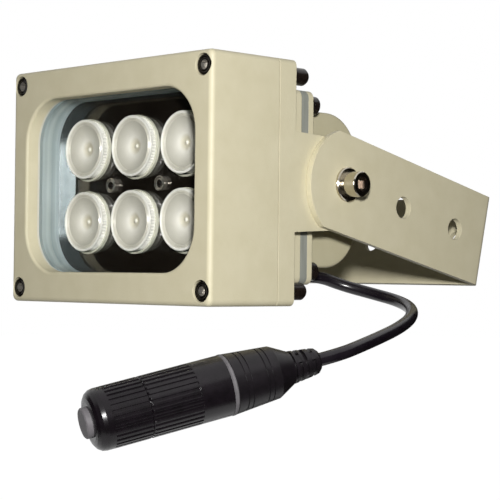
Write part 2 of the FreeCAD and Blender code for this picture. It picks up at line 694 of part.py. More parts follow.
def board_screws():
    body = new_node("board_screws")
    head_height = s.board_screw * 0.6
    head = slab(body, lambda k: circle(k, s.lens_pitch / -2, 0, s.board_screw_head / 2),
                s.board_depth - head_height, head_height)
    shank = slab(body, lambda k: circle(k, s.lens_pitch / -2, 0, s.board_screw / 2),
                 s.board_depth, s.board_screw_length)
    socket = recess(body, lambda k: hexagon(k, s.lens_pitch / -2, 0, s.board_screw * 0.67),
                    s.board_depth - head_height, head_height * 0.6)
    pair = body.newObject("PartDesign::LinearPattern", "pair")
    pair.Originals = [head, shank, socket]
    pair.Direction = (origin_feature(body, "X_Axis"), [""])
    pair.Occurrences = 2
    bind(pair, "Length", s.lens_pitch)
    settle(body, pair, True)


def lens(label, x, z):
    """A moulded collimator: rim, shallow dish in front, hollow over the LED behind."""
    body = new_node(label, x, lamp_y, lamp_z + z)
    rim = s.lens_diameter / 2
    base = rim - s.lens_undercut
    hollow = s.emitter_diameter / 2 + s.fit_gap
    roof = s.board_depth - s.emitter_height - s.fit_gap
    turned(body, [(0, lens_depth + s.lens_dish), (rim - s.lens_rim, lens_depth + s.lens_undercut),
                  (rim - s.lens_rim, lens_depth), (rim, lens_depth),
                  (rim, lens_depth + s.lens_step), (base, lens_depth + s.lens_step),
                  (base, s.board_depth), (hollow, s.board_depth), (hollow, roof), (0, roof)])


def lens_holder(label, x, z):
    body = new_node(label, x, lamp_y, lamp_z + z)
    inner = s.lens_diameter / 2 - s.lens_undercut + s.hole_play
    outer = inner + s.holder_wall
    front = s.board_depth - s.holder_height
    turned(body, [(inner, front), (outer, front), (outer, s.board_depth), (inner, s.board_depth)])


def emitter(label, x, z):
    """The LED under a lens: a round base on the board."""
    body = new_node(label, x, lamp_y, lamp_z + z)
    base = s.emitter_diameter / 2
    front = s.board_depth - s.emitter_height
    turned(body, [(0, front), (s.dome_diameter / 2, front), (base, front + s.emitter_height / 2),
                  (base, s.board_depth), (0, s.board_depth)])


def light_engine():
    number = 1
    for level in (1, -1):
        for column in (-1, 0, 1):
            x = s.lens_pitch * column
            z = s.lens_pitch * (level / 2)
            lens(f"led_lens_{number}", x, z)
            lens_holder(f"lens_holder_{number}", x, z)
            emitter(f"led_emitter_{number}", x, z)
            number += 1


def driver():
    """The current driver board on four posts behind the heat spreader."""
    post_x = s.driver_width / 2 - s.standoff_diameter
    post_z = s.driver_height / 2 - s.standoff_diameter
    posts = new_node("driver_standoffs")
    slab(posts, lambda k: corner_circles(k, post_x, post_z, s.standoff_diameter / 2),
         standoff_depth, s.standoff_length)
    board = new_node("driver_board")
    slab(board, lambda k: rounded_rectangle(k, s.driver_width, s.driver_height,
                                            s.standoff_diameter / 2),
         driver_depth, s.driver_thickness)
    parts = new_node("driver_parts")
    front = driver_depth + s.driver_thickness
    slab(parts, lambda k: circle(k, s.driver_width / 4, 0, s.coil_diameter / 2), front,
         s.coil_height)
    for side in (-2, 2):
        slab(parts, lambda k: circle(k, s.driver_width / -4, s.capacitor_pitch / side,
                                     s.capacitor_diameter / 2), front, s.capacitor_height)


# Fasteners of the lamp head.

def cap_screws(label, x, z, middle, head_depth, head_height, length, forward):
    """Four socket-headed screws; forward ones are driven in from the lamp's face."""
    body = new_node(label)
    low = as_size(middle) - z
    if forward:
        shank_start = head_depth + head_height
        socket_start = head_depth
    else:
        shank_start = head_depth - length
        socket_start = head_depth + head_height - s.screw_socket_depth
    head = slab(body, lambda k: circle(k, -x, low, s.screw_head / 2), head_depth, head_height)
    shank = slab(body, lambda k: circle(k, -x, low, s.screw / 2), shank_start, length)
    socket = recess(body, lambda k: hexagon(k, -x, low, s.screw_socket), socket_start,
                    s.screw_socket_depth)
    four_corners(body, [head, shank, socket], x * 2, z * 2)


def fasteners():
    head_depth = s.counterbore_depth - s.screw_head_height
    length = back_depth + s.nut_thread - s.counterbore_depth
    cap_screws("front_screws", corner_screw_x, corner_screw_z, 0, head_depth, s.screw_head_height,
               length, True)
    cap_screws("pod_screws", pod_screw_x, pod_screw_z, -s.back_drop, pod_seat, s.pod_head_height,
               s.pod_screw_length, False)


def cap_nuts():
    """Four black cap nuts on the ends of the corner screws."""
    body = new_node("cap_nuts", -corner_screw_x, lamp_y, lamp_z - corner_screw_z)
    bore = s.screw / 2 + s.hole_play
    outer = s.nut_diameter / 2
    tip = back_depth + s.nut_height
    floor = back_depth + s.nut_thread + s.edge_break
    rim = back_depth + s.nut_flange_height
    nut = turned(body, [(bore, back_depth), (s.nut_flange / 2, back_depth), (s.nut_flange / 2, rim),
                        (outer, rim), (outer, tip - s.nut_dome), (outer - s.nut_dome / 3,
                        tip - s.nut_dome / 2.3), (outer - s.nut_dome, tip - s.nut_dome / 8),
                        (0, tip), (0, floor), (bore, floor)])
    four_corners(body, [nut], corner_screw_x * 2, corner_screw_z * 2)


# Tilt joint and bracket.

def pivot_piece(label, side, points):
    """A piece turned about the tilt axis, on the right (1) or the left (-1)."""
    body = new_node(label, 0, pivot_y, pivot_z)
    sketch = new_sketch(body, "XY_Plane")
    polygon(sketch, [(along * side, radius) for along, radius in points])
    feature = body.newObject("PartDesign::Revolution", "turned")
    feature.Profile = sketch
    feature.ReferenceAxis = (sketch, ["H_Axis"])
    feature.Angle = 360
    settle(body, feature, True)
    return body


def pivot_hardware():
    shank = s.pivot_screw / 2
    head = s.pivot_head / 2
    washer = s.washer_diameter / 2
    bore = shank + s.hole_play
    end = washer_outer + s.pivot_head_height
    for name, side in (("left", -1), ("right", 1)):
        pivot_piece(f"pivot_washer_{name}", side, [(washer_inner, bore), (washer_outer, bore),
                                                   (washer_outer, washer - s.edge_break),
                                                   (washer_outer - s.edge_break, washer),
                                                   (washer_inner, washer)])
        bolt = pivot_piece(f"pivot_bolt_{name}", side, [
            (ear_inner, 0), (end, 0), (end, head - s.edge_break), (end - s.edge_break, head),
            (washer_outer, head), (washer_outer, shank), (ear_inner, shank)])
        sketch = new_sketch(bolt, "YZ_Plane", end * side)
        hexagon(sketch, 0, 0, s.pivot_socket)
        pocket(bolt, sketch, s.pivot_head_height / 2, reverse=side < 0)


def bracket_side(sketch, half):
    """The bracket seen from the side: straight edges, and an arc round the arm ends."""
    reach, end, top = s.bracket_reach.value, s.bracket_end.value, half.value
    centre = s.bracket_end_shift.value
    start = centre - math.sqrt(end ** 2 - top ** 2)
    corners = [Vector(start, -top, 0), Vector(reach, -top, 0), Vector(reach, top, 0),
               Vector(start, top, 0)]
    for index in range(3):
        sketch.addGeometry(Part.LineSegment(corners[index], corners[index + 1]), False)
    full = Part.Circle(Vector(centre, 0, 0), Vector(0, 0, 1), end)
    turn = math.acos((start - centre) / end)
    sketch.addGeometry(Part.ArcOfCircle(full, turn, 2 * math.pi - turn), False)
    for first, second in ((0, 1), (1, 2), (2, 3), (3, 0)):
        sketch.addConstraint(Sketcher.Constraint("Coincident", first, 2, second, 1))
    fix_point(sketch, 3, 3, s.bracket_end_shift, 0)
    sketch.addConstraint(Sketcher.Constraint("Horizontal", 0))
    sketch.addConstraint(Sketcher.Constraint("Horizontal", 2))
    fix_point(sketch, 1, 1, s.bracket_reach, -half)
    fix_point(sketch, 1, 2, s.bracket_reach, half)
    index = sketch.addConstraint(Sketcher.Constraint("Radius", 3, end))
    bind(sketch, f"Constraints[{index}]", s.bracket_end)


def bracket():
    """A strip of steel bent to a U, with rounded arm ends and spare pivot holes."""
    body = new_node("bracket", 0, pivot_y, pivot_z)
    body.Placement.Rotation = Rotation(Vector(1, 0, 0), -s.tilt_angle.value)
    bind(body, "Placement.Rotation.Angle", -s.tilt_angle)
    half = s.bracket_width / 2
    sketch = new_sketch(body, "YZ_Plane")
    bracket_side(sketch, half)
    pad(body, sketch, arm_outer * 2, middle=True)
    inner_reach = s.bracket_reach - s.bracket_thickness
    sketch = new_sketch(body, "XY_Plane")
    polygon(sketch, [(-arm_inner, -s.bracket_end * 1.1), (arm_inner, -s.bracket_end * 1.1),
                     (arm_inner, inner_reach), (-arm_inner, inner_reach)])
    pocket(body, sketch, s.bracket_width * 2, middle=True)
    dress(body, "Fillet", lambda edge, p: runs_along(edge, 2) and near(p.y, inner_reach),
          s.bracket_bend, inside=True)
    dress(body, "Fillet", lambda edge, p: runs_along(edge, 2) and near(p.y, s.bracket_reach),
          s.bracket_bend + s.bracket_thickness)
    sketch = new_sketch(body, "YZ_Plane")
    circle(sketch, 0, 0, s.pivot_screw / 2 + s.pivot_play)
    circle(sketch, s.first_spare, 0, s.spare_hole / 2)
    circle(sketch, s.second_spare, 0, s.spare_hole / 2)
    pocket(body, sketch, arm_outer * 3, middle=True)
    sketch = new_sketch(body, "XZ_Plane", -s.bracket_reach)
    for column in (-1, 0, 1):
        circle(sketch, s.wall_hole_pitch * column, 0, s.wall_hole / 2)
    pocket(body, sketch, s.bracket_thickness, reverse=True)


# Supply cord and its connector. Points are measured from the middle of the lamp's face.

CORD_ROUTE = [
    (43.9, 83.0, -37.4),
    (54.3, 88.8, -40.4),
    (67.0, 89.2, -42.9),
    (78.7, 83.5, -45.6),
    (87.3, 72.8, -48.9),
    (92.6, 59.2, -52.2),
    (96.2, 44.8, -55.3),
    (98.8, 31.3, -57.0),
    (100.1, 21.1, -59.9),
    (96.8, 13.5, -61.9),
]
lamp_place = Vector(0, lamp_y.value, lamp_z.value)


def cable_grommet():
    body = new_node("cable_grommet", s.grommet_x, lamp_y, lamp_z - grommet_z)
    collar = s.grommet_diameter / 2
    neck = s.cord_diameter / 2
    turned(body, [(0, flange_depth), (neck, flange_depth), (neck, pod_depth), (collar, pod_depth),
                  (collar, grommet_end - s.grommet_length / 2), (neck + s.edge_break / 2,
                  grommet_end), (0, grommet_end)])


def cord_path():
    """Straight runs joined by tangent arcs, each as large as its runs allow."""
    start = Vector(s.grommet_x.value, grommet_end.value, -grommet_z.value)
    route = [start, start + Vector(0, s.exit_run.value, 0)] + [Vector(*point) for point in CORD_ROUTE]
    route = [point + lamp_place for point in route]
    edges = []
    here = route[0]
    for before, corner, after in zip(route, route[1:], route[2:]):
        arriving = (corner - before).normalize()
        leaving = (after - corner).normalize()
        half_turn = arriving.getAngle(leaving) / 2
        cut = 0.45 * min((corner - before).Length, (after - corner).Length)
        print("cord bend radius", round(cut / math.tan(half_turn), 1))
        first = corner - arriving * cut
        last = corner + leaving * cut
        inward = (leaving - arriving).normalize()
        middle = corner + inward * (cut * math.tan(half_turn / 2))
        edges.append(Part.LineSegment(here, first).toShape())
        edges.append(Part.Arc(first, middle, last).toShape())
        here = last
    edges.append(Part.LineSegment(here, route[-1]).toShape())
    return Part.Wire(edges), route


def power_cord():
    path, route = cord_path()
    direction = (route[1] - route[0]).normalize()
    section = Part.Wire(Part.makeCircle(s.cord_diameter.value / 2, route[0], direction))
    tube = path.makePipeShell([section], True, False)
    expected = math.pi * (s.cord_diameter.value / 2) ** 2 * path.Length
    print("cord length", round(path.Length, 1), "volume over section times length",
          round(tube.Volume / expected, 4))
    node = doc.addObject("Part::Feature", "power_cord")
    node.Label = "power_cord"
    node.Shape = tube
    nodes.append(node)
    return route


def connector_piece(label, route, points):
    """A piece turned about the connector's axis, measured from the cord's end."""
    body = new_node(label, route[-1].x, route[-1].y, route[-1].z)
    body.Placement.Rotation = Rotation(Vector(0, 1, 0), route[-1] - route[-2])
    turned(body, points)
    return body


def pin_circles(sketch, radius):
    """Three circles in a triangle about the connector's axis."""
    for angle in (90, 210, 330):
        turn = math.radians(angle)
        circle(sketch, s.pin_circle * round(math.cos(turn), 6),
               s.pin_circle * round(math.sin(turn), 6), radius)


def tapered(station, start, length, first, last):
    """Radius at a station of a part whose radius changes evenly from first to last."""
    return first + product(last - first, ratio(station - start, length))


def relief_radius(station):
    return tapered(station, s.relief_nose, s.relief_length, s.relief_radius, s.relief_end_radius)


def barrel_radius(station):
    return tapered(station, shoulder, s.barrel_length, s.shoulder_radius, s.socket_radius)


def ring_groove(radius_at, start, width, depth):
    """Four points of an outline, for a groove cut into a tapered part."""
    end = start + width
    return [(radius_at(start), start), (radius_at(start) - depth, start),
            (radius_at(end) - depth, end), (radius_at(end), end)]


def bar(sketch, half_length, half_width, angle):
    """A rectangle about the axis, turned by an angle."""
    across, up = cosine(angle), sine(angle)
    corners = []
    for along, aside in ((1, -1), (1, 1), (-1, 1), (-1, -1)):
        first, second = half_length * along, half_width * aside
        corners.append((product(first, across) - product(second, up),
                        product(first, up) + product(second, across)))
    polygon(sketch, corners)


def grip_grooves(body, start, length):
    """Cuts straight grooves round the rim of a ring, along its axis."""
    reach = s.coupling_radius + s.grip_depth
    half = s.grip_width / 2
    groove = recess(body, lambda k: polygon(k, [
        (-half, s.coupling_radius - s.grip_depth), (half, s.coupling_radius - s.grip_depth),
        (half, reach), (-half, reach)]), start, length)
    pattern = body.newObject("PartDesign::PolarPattern", "grip")
    pattern.Originals = [groove]
    pattern.Axis = (origin_feature(body, "Y_Axis"), [""])
    pattern.Angle = 360
    pattern.Occurrences = GRIP_GROOVES
    settle(body, pattern, False)


def socket_body(route):
    """The moulded socket in one piece: slotted strain relief, shoulder, barrel and nose."""
    cord = s.cord_diameter / 2
    outline = [(0, 0), (cord + s.hole_play, 0)]
    for angle in (30, 60, 90):
        turn = math.radians(angle)
        outline.append((cord + (s.relief_radius - cord) * math.sin(turn),
                        s.relief_nose * (1 - math.cos(turn))))
    for slot, width in slot_rows:
        outline += ring_groove(relief_radius, slot, width, s.slot_depth)
    outline += [(s.shoulder_radius - s.cone_round / 2, shoulder - s.cone_round),
                (s.shoulder_radius, shoulder)]
    first = shoulder + s.groove_inset
    last = seal_face - s.groove_inset - s.groove_width
    for groove in (first, first + s.groove_pitch, last - s.groove_pitch, last):
        outline += ring_groove(barrel_radius, groove, s.groove_width, s.groove_depth)
    outline += [(s.socket_radius, seal_face), (s.nose_radius, seal_face),
                (s.nose_radius, nose_end), (0, nose_end)]
    body = connector_piece("socket_body", route, outline)
    for row, (slot, width) in enumerate(slot_rows):
        half = relief_radius(slot) - s.hole_play
        angle = s.bridge_turn + 90 * (row % 2)
        slab(body, lambda k: bar(k, half, s.slot_bridge / 2, angle), slot, width)
    recess(body, lambda k: pin_circles(k, s.pin_diameter / 2 + s.turn_play),
           nose_end - s.pin_reach - s.end_play, s.pin_reach + s.end_play)


def sealing_ring(route):
    """Grey rubber ring between the socket and the coupling ring."""
    inner = s.nose_radius + s.turn_play
    outer = s.coupling_radius + s.ring_stand
    end = seal_face + s.ring_thickness
    connector_piece("sealing_ring", route, [
        (inner, seal_face), (outer - s.edge_break, seal_face), (outer, seal_face + s.edge_break),
        (outer, end - s.edge_break), (outer - s.edge_break, end), (inner, end)])


def coupling_ring(route):
    """Threaded sleeve that draws the plug onto the socket."""
    bore = s.nose_radius + s.turn_play
    back = s.tail_radius + s.turn_play
    wall = coupling_end - s.coupling_wall
    body = connector_piece("coupling_ring", route, [
        (bore, coupling_start), (s.coupling_radius, coupling_start),
        (s.coupling_radius, coupling_end - s.edge_break),
        (s.coupling_radius - s.edge_break, coupling_end), (back, coupling_end), (back, wall),
        (bore, wall)])
    grip_grooves(body, coupling_end - s.grip_length, s.grip_length)


def plug_body(route):
    """The plug inside the coupling ring: pin floor, collar and threaded tail."""
    start = nose_end + s.end_play
    collar_end = coupling_end - s.coupling_wall - s.end_play
    collar_start = collar_end - s.collar_thickness
    bore = s.seal_radius + s.seal_gap
    floor = start + s.insert_wall
    body = connector_piece("plug_body", route, [
        (0, start), (s.insert_radius, start), (s.insert_radius, collar_start),
        (s.nose_radius, collar_start), (s.nose_radius, collar_end), (s.tail_radius, collar_end),
        (s.tail_radius, tail_end), (bore, tail_end), (bore, floor), (0, floor)])
    recess(body, lambda k: pin_circles(k, s.pin_diameter / 2), start, s.insert_wall)


def contact_pins(route):
    """Three pins, held in the plug body's floor and plugged into the socket's nose."""
    body = new_node("contact_pins", route[-1].x, route[-1].y, route[-1].z)
    body.Placement.Rotation = Rotation(Vector(0, 1, 0), route[-1] - route[-2])
    length = s.pin_reach + s.end_play + s.insert_wall
    slab(body, lambda k: pin_circles(k, s.pin_diameter / 2), nose_end - s.pin_reach, length)


def clamp_nut(route):
    """Round-ended nut that squeezes the sealing plug on the plug body's tail."""
    bore = s.tail_radius + s.turn_play
    hole = s.seal_radius + s.turn_play
    floor = tail_end + s.seal_flange + s.end_play
    outline = [(bore, clamp_start), (s.coupling_radius - s.edge_break, clamp_start),
               (s.coupling_radius, clamp_start + s.edge_break)]
    for angle in (0, 22.5, 45, 67.5, 90):
        turn = math.radians(angle)
        outline.append((s.coupling_radius - s.clamp_round * (1 - math.cos(turn)),
                        clamp_end - s.clamp_round * (1 - math.sin(turn))))
    outline += [(hole, clamp_end), (hole, floor), (bore, floor)]
    body = connector_piece("clamp_nut", route, outline)
    grip_grooves(body, clamp_start, s.nut_grip_length)


def sealing_plug(route):
    """Grey rubber bung in the clamp nut, where a supply cable would enter."""
    flange = s.tail_radius - s.edge_break
    flange_end = tail_end + s.seal_flange
    end = clamp_end + s.seal_stand
    connector_piece("sealing_plug", route, [
        (0, clamp_start), (s.seal_radius, clamp_start), (s.seal_radius, tail_end),
        (flange, tail_end), (flange, flange_end), (s.seal_radius, flange_end),
        (s.seal_radius, end - s.edge_break), (s.seal_radius - s.edge_break, end), (0, end)])


def check_and_write():
    doc.recompute()
    for item in doc.Objects:
        if "Invalid" in item.State or "Error" in item.State:
            raise RuntimeError(f"{item.Label} failed: {item.State}")
    for node in nodes:
        if node.Shape.isNull() or not node.Shape.isValid():
            raise RuntimeError(f"{node.Label} has no valid shape")
    os.makedirs("parts", exist_ok=True)
    for node in nodes:
        node.Shape.exportStep(f"parts/{node.Label}.step")
        print(node.Label, len(node.Shape.Solids), "solids", round(node.Shape.Volume), "mm3")


front_housing()
seam_gasket()
rear_cover()
rear_gasket()
pod_cover()
window()
light_board()
board_screws()
light_engine()
driver()
fasteners()
cap_nuts()
pivot_hardware()
bracket()
cable_grommet()
cord_route = power_cord()
socket_body(cord_route)
sealing_ring(cord_route)
coupling_ring(cord_route)
plug_body(cord_route)
contact_pins(cord_route)
clamp_nut(cord_route)
sealing_plug(cord_route)
check_and_write()
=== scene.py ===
import math

import bpy
from mathutils import Matrix, Vector


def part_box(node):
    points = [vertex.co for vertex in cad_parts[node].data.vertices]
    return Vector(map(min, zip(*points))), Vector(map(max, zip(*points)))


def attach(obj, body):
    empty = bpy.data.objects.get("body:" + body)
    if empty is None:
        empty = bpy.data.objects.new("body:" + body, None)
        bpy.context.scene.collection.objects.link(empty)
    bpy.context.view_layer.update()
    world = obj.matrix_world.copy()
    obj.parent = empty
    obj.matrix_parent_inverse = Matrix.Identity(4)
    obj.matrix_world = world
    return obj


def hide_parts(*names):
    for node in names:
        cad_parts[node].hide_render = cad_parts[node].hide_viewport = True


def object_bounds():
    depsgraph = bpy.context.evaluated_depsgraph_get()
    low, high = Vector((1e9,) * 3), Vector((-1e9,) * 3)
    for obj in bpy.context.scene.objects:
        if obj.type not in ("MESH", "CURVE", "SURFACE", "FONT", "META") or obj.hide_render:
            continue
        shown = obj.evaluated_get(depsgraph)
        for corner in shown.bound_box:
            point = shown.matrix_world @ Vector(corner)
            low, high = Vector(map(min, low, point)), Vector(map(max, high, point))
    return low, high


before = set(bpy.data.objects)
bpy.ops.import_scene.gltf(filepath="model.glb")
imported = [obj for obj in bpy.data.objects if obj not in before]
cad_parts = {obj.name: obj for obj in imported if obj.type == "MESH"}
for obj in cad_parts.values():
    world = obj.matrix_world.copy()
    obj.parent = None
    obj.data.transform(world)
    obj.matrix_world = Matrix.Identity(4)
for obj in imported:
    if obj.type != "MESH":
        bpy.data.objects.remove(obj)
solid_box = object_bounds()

# The infrared illuminator, dressed as its photograph shows it. Metres, in the frame of the
# solid model: X to the right as one looks at the lamp's front, Y from its face to the wall,
# Z up.

scene = bpy.context.scene
scene.view_settings.view_transform = "Standard"
face_low, face_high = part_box("front_housing")
lamp_face = Vector((0, face_low[1], (face_low[2] + face_high[2]) / 2))


# The camera: a long lens 0.6 m from the lamp's face and almost level with it, 46 degrees
# round to the right of its front, as in the photograph.

CAMERA_FROM_FACE = Vector((0.46877, -0.383377, -0.033771))
CAMERA_TURN = math.radians(45.599)
CAMERA_LIFT = math.radians(0.883)
CAMERA_ROLL = math.radians(0.654)
FOCAL_LENGTH = 117.03
SENSOR_WIDTH = 36.0
NEAREST_SEEN = 0.01

camera_data = bpy.data.cameras.new("camera")
camera_data.lens = FOCAL_LENGTH
camera_data.sensor_width = SENSOR_WIDTH
camera_data.clip_start = NEAREST_SEEN
camera = bpy.data.objects.new("camera", camera_data)
scene.collection.objects.link(camera)
camera.location = lamp_face + CAMERA_FROM_FACE
looking = Matrix.Rotation(CAMERA_TURN, 4, "Z") @ Matrix.Rotation(math.pi / 2 + CAMERA_LIFT, 4, "X")
camera.rotation_euler = (looking @ Matrix.Rotation(CAMERA_ROLL, 4, "Z")).to_euler()
scene.camera = camera


# The studio: one small lamp just above the camera, two weak soft lights for the back and the
# sides, and a faint warm light all round. The room itself shows white behind the object.

ROOM_LIGHT = 0.02
ROOM_TONE = (1.0, 0.95, 0.82, 1)
ROOM_SEEN = (1, 1, 1, 1)
KEY_POWER = 4.6
KEY_SIZE = 0.045
KEY_TONE = (1.0, 0.99, 0.985)
KEY_FROM_CAMERA = Vector((0.004, 0.004, 0.088))
KEY_AIM = Vector((0, 0.04, 0))
FAR_LIGHT_SPREAD = math.radians(12)
BACK_LIGHT = 1.0
BACK_LIGHT_WAY = Vector((0.66, -0.74, -0.06))
SIDE_LIGHT = 0.4
SIDE_LIGHT_WAY = Vector((-0.96, 0.2, 0.1))


def feed(tree, node, sockets):
    """Gives each named socket of a node its value, or the output that feeds it."""
    for socket, value in sockets.items():
        if isinstance(value, bpy.types.NodeSocket):
            tree.links.new(value, node.inputs[socket])
        else:
            node.inputs[socket].default_value = value


def add_node(tree, kind, sockets=None, **settings):
    """A new node in a tree, with its settings and its sockets."""
    node = tree.nodes.new(f"ShaderNode{kind}")
    for setting, value in settings.items():
        setattr(node, setting, value)
    feed(tree, node, sockets or {})
    return node


def seen_directly(tree):
    """One for rays from the camera, and for those that gloss or glass sends on."""
    path = add_node(tree, "LightPath")
    first = add_node(tree, "Math", {0: path.outputs["Is Camera Ray"], 1: path.outputs["Is Glossy Ray"]},
                     operation="MAXIMUM")
    second = add_node(tree, "Math", {0: first.outputs[0], 1: path.outputs["Is Transmission Ray"]},
                      operation="MAXIMUM")
    return second.outputs[0]


world = bpy.data.worlds.new("studio")
scene.world = world
world.use_nodes = True
sky = world.node_tree
sky.nodes.clear()
sky_light = add_node(sky, "Background", {"Color": ROOM_TONE, "Strength": ROOM_LIGHT})
sky_seen = add_node(sky, "Background", {"Color": ROOM_SEEN})
sky_mix = add_node(sky, "MixShader", {0: seen_directly(sky), 1: sky_light.outputs[0], 2: sky_seen.outputs[0]})
add_node(sky, "OutputWorld", {"Surface": sky_mix.outputs[0]})

key_data = bpy.data.lights.new("key_lamp", "AREA")
key_data.size = KEY_SIZE
key_data.energy = KEY_POWER
key_data.color = KEY_TONE
key = bpy.data.objects.new("key_lamp", key_data)
key.location = camera.location + KEY_FROM_CAMERA
key.rotation_euler = (lamp_face + KEY_AIM - key.location).to_track_quat("-Z", "Y").to_euler()
scene.collection.objects.link(key)

for name, strength, way in (("back_light", BACK_LIGHT, BACK_LIGHT_WAY),
                            ("side_light", SIDE_LIGHT, SIDE_LIGHT_WAY)):
    far_data = bpy.data.lights.new(name, "SUN")
    far_data.energy = strength
    far_data.angle = FAR_LIGHT_SPREAD
    far_light = bpy.data.objects.new(name, far_data)
    far_light.rotation_euler = way.to_track_quat("-Z", "Y").to_euler()
    far_light.visible_glossy = False
    scene.collection.objects.link(far_light)


# The floor: a wide sheet a quarter of a metre below the object. It shows white, and keeps a
# trace of the object's shadow.

FLOOR_HALF = 6.0
FLOOR_DROP = 0.25
FLOOR_TONE = (0.12, 0.12, 0.115, 1)
FLOOR_ROUGHNESS = 0.9
FLOOR_GLOW = 1.04
FLOOR_GLOW_SHARE = 0.97


def new_material(name):
    """A plain node material: its tree, and the shader on its output."""
    material = bpy.data.materials.new(name)
    material.use_nodes = True
    tree = material.node_tree
    tree.nodes.clear()
    shader = add_node(tree, "BsdfPrincipled")
    add_node(tree, "OutputMaterial", {"Surface": shader.outputs[0]})
    return material, tree, shader


def only_node(tree, kind):
    """The one node of its kind in a tree."""
    return [node for node in tree.nodes if node.type == kind][0]


floor_paint, floor_tree, floor_shader = new_material("floor_paint")
feed(floor_tree, floor_shader, {"Base Color": FLOOR_TONE, "Roughness": FLOOR_ROUGHNESS})
floor_glow = add_node(floor_tree, "Emission", {"Strength": FLOOR_GLOW})
floor_share = add_node(floor_tree, "Math", {0: seen_directly(floor_tree), 1: FLOOR_GLOW_SHARE},
                       operation="MULTIPLY")
floor_mix = add_node(floor_tree, "MixShader", {0: floor_share.outputs[0], 1: floor_shader.outputs[0],
                                               2: floor_glow.outputs[0]})
feed(floor_tree, only_node(floor_tree, "OUTPUT_MATERIAL"), {"Surface": floor_mix.outputs[0]})
floor_level = solid_box[0][2] - FLOOR_DROP
floor_data = bpy.data.meshes.new("floor")
floor_data.from_pydata([(-FLOOR_HALF, -FLOOR_HALF, floor_level), (FLOOR_HALF, -FLOOR_HALF, floor_level),
                        (FLOOR_HALF, FLOOR_HALF, floor_level), (-FLOOR_HALF, FLOOR_HALF, floor_level)],
                       [], [(0, 1, 2, 3)])
floor_data.materials.append(floor_paint)
floor = bpy.data.objects.new("floor", floor_data)
scene.collection.objects.link(floor)


# The dark side of the studio: a black cloth, hung in a wide bow behind the camera and laid
# over the floor. Only gloss and glass see it, so that metal and black plastic have something
# dark to reflect.

CLOTH_DISTANCE = 1.5
CLOTH_GAP = 0.3
CLOTH_LIFT = 0.002
CLOTH_TOP = math.radians(30)
CLOTH_FIRST = -168
CLOTH_LAST = 120
CLOTH_STEP = 8
CLOTH_TONE = (0.02, 0.016, 0.012, 1)
CLOTH_ROUGHNESS = 1.0

cloth_paint, cloth_tree, cloth_shader = new_material("black_cloth")
feed(cloth_tree, cloth_shader, {"Base Color": CLOTH_TONE, "Roughness": CLOTH_ROUGHNESS})
cloth_low = floor_level + CLOTH_LIFT
cloth_high = lamp_face[2] + CLOTH_DISTANCE * math.tan(CLOTH_TOP)
cloth_points = []
for degrees in range(CLOTH_FIRST, CLOTH_LAST + 1, CLOTH_STEP):
    across = math.cos(math.radians(degrees))
    along = math.sin(math.radians(degrees))
    for reach, level in ((CLOTH_GAP, cloth_low), (CLOTH_DISTANCE, cloth_low), (CLOTH_DISTANCE, cloth_high)):
        cloth_points.append((lamp_face[0] + across * reach, lamp_face[1] + along * reach, level))
cloth_faces = []
for k in range(0, len(cloth_points) - 3, 3):
    cloth_faces += [(k, k + 3, k + 4, k + 1), (k + 1, k + 4, k + 5, k + 2)]
cloth_data = bpy.data.meshes.new("black_cloth")
cloth_data.from_pydata(cloth_points, [], cloth_faces)
cloth_data.materials.append(cloth_paint)
cloth = bpy.data.objects.new("black_cloth", cloth_data)
scene.collection.objects.link(cloth)
cloth.visible_camera = False
cloth.visible_diffuse = False
cloth.visible_shadow = False


# Bracket and castings: a bent steel strip and cast aluminium in the same cream powder paint,
# with a fine orange-peel skin, faint mottling, and corners that the paint leaves slightly
# round. The body of the pod behind its flange carries painted shade: its colour is made
# darker there to stand for the shade it lies in.

CREAM = {"first": (0.60, 0.555, 0.385), "second": (0.635, 0.59, 0.42), "mottle": 130, "grain": 1500,
         "rough": (0.42, 0.58), "bump": 0.00004, "corner": 0.0003, "plain": {"Specular IOR Level": 0.35}}
MOTTLE_DETAIL = 3
MOTTLE_LOW = 0.3
MOTTLE_HIGH = 0.7
GRAIN_DETAIL = 2
CORNER_SAMPLES = 6
POD_FLANGE = 0.004
POD_BLEND = 0.0008
# Painted shade on the pod's body behind its flange.
POD_PAINTED_SHADE = (0.78, 0.78, 0.75, 1)


def new_group(name, inputs, outputs):
    """An empty node group with named sockets: its tree, its entry and its result."""
    group = bpy.data.node_groups.new(name, "ShaderNodeTree")
    for way, sockets in (("INPUT", inputs), ("OUTPUT", outputs)):
        for socket, kind in sockets.items():
            group.interface.new_socket(socket, in_out=way, socket_type=f"NodeSocket{kind}")
    return group, group.nodes.new("NodeGroupInput"), group.nodes.new("NodeGroupOutput")


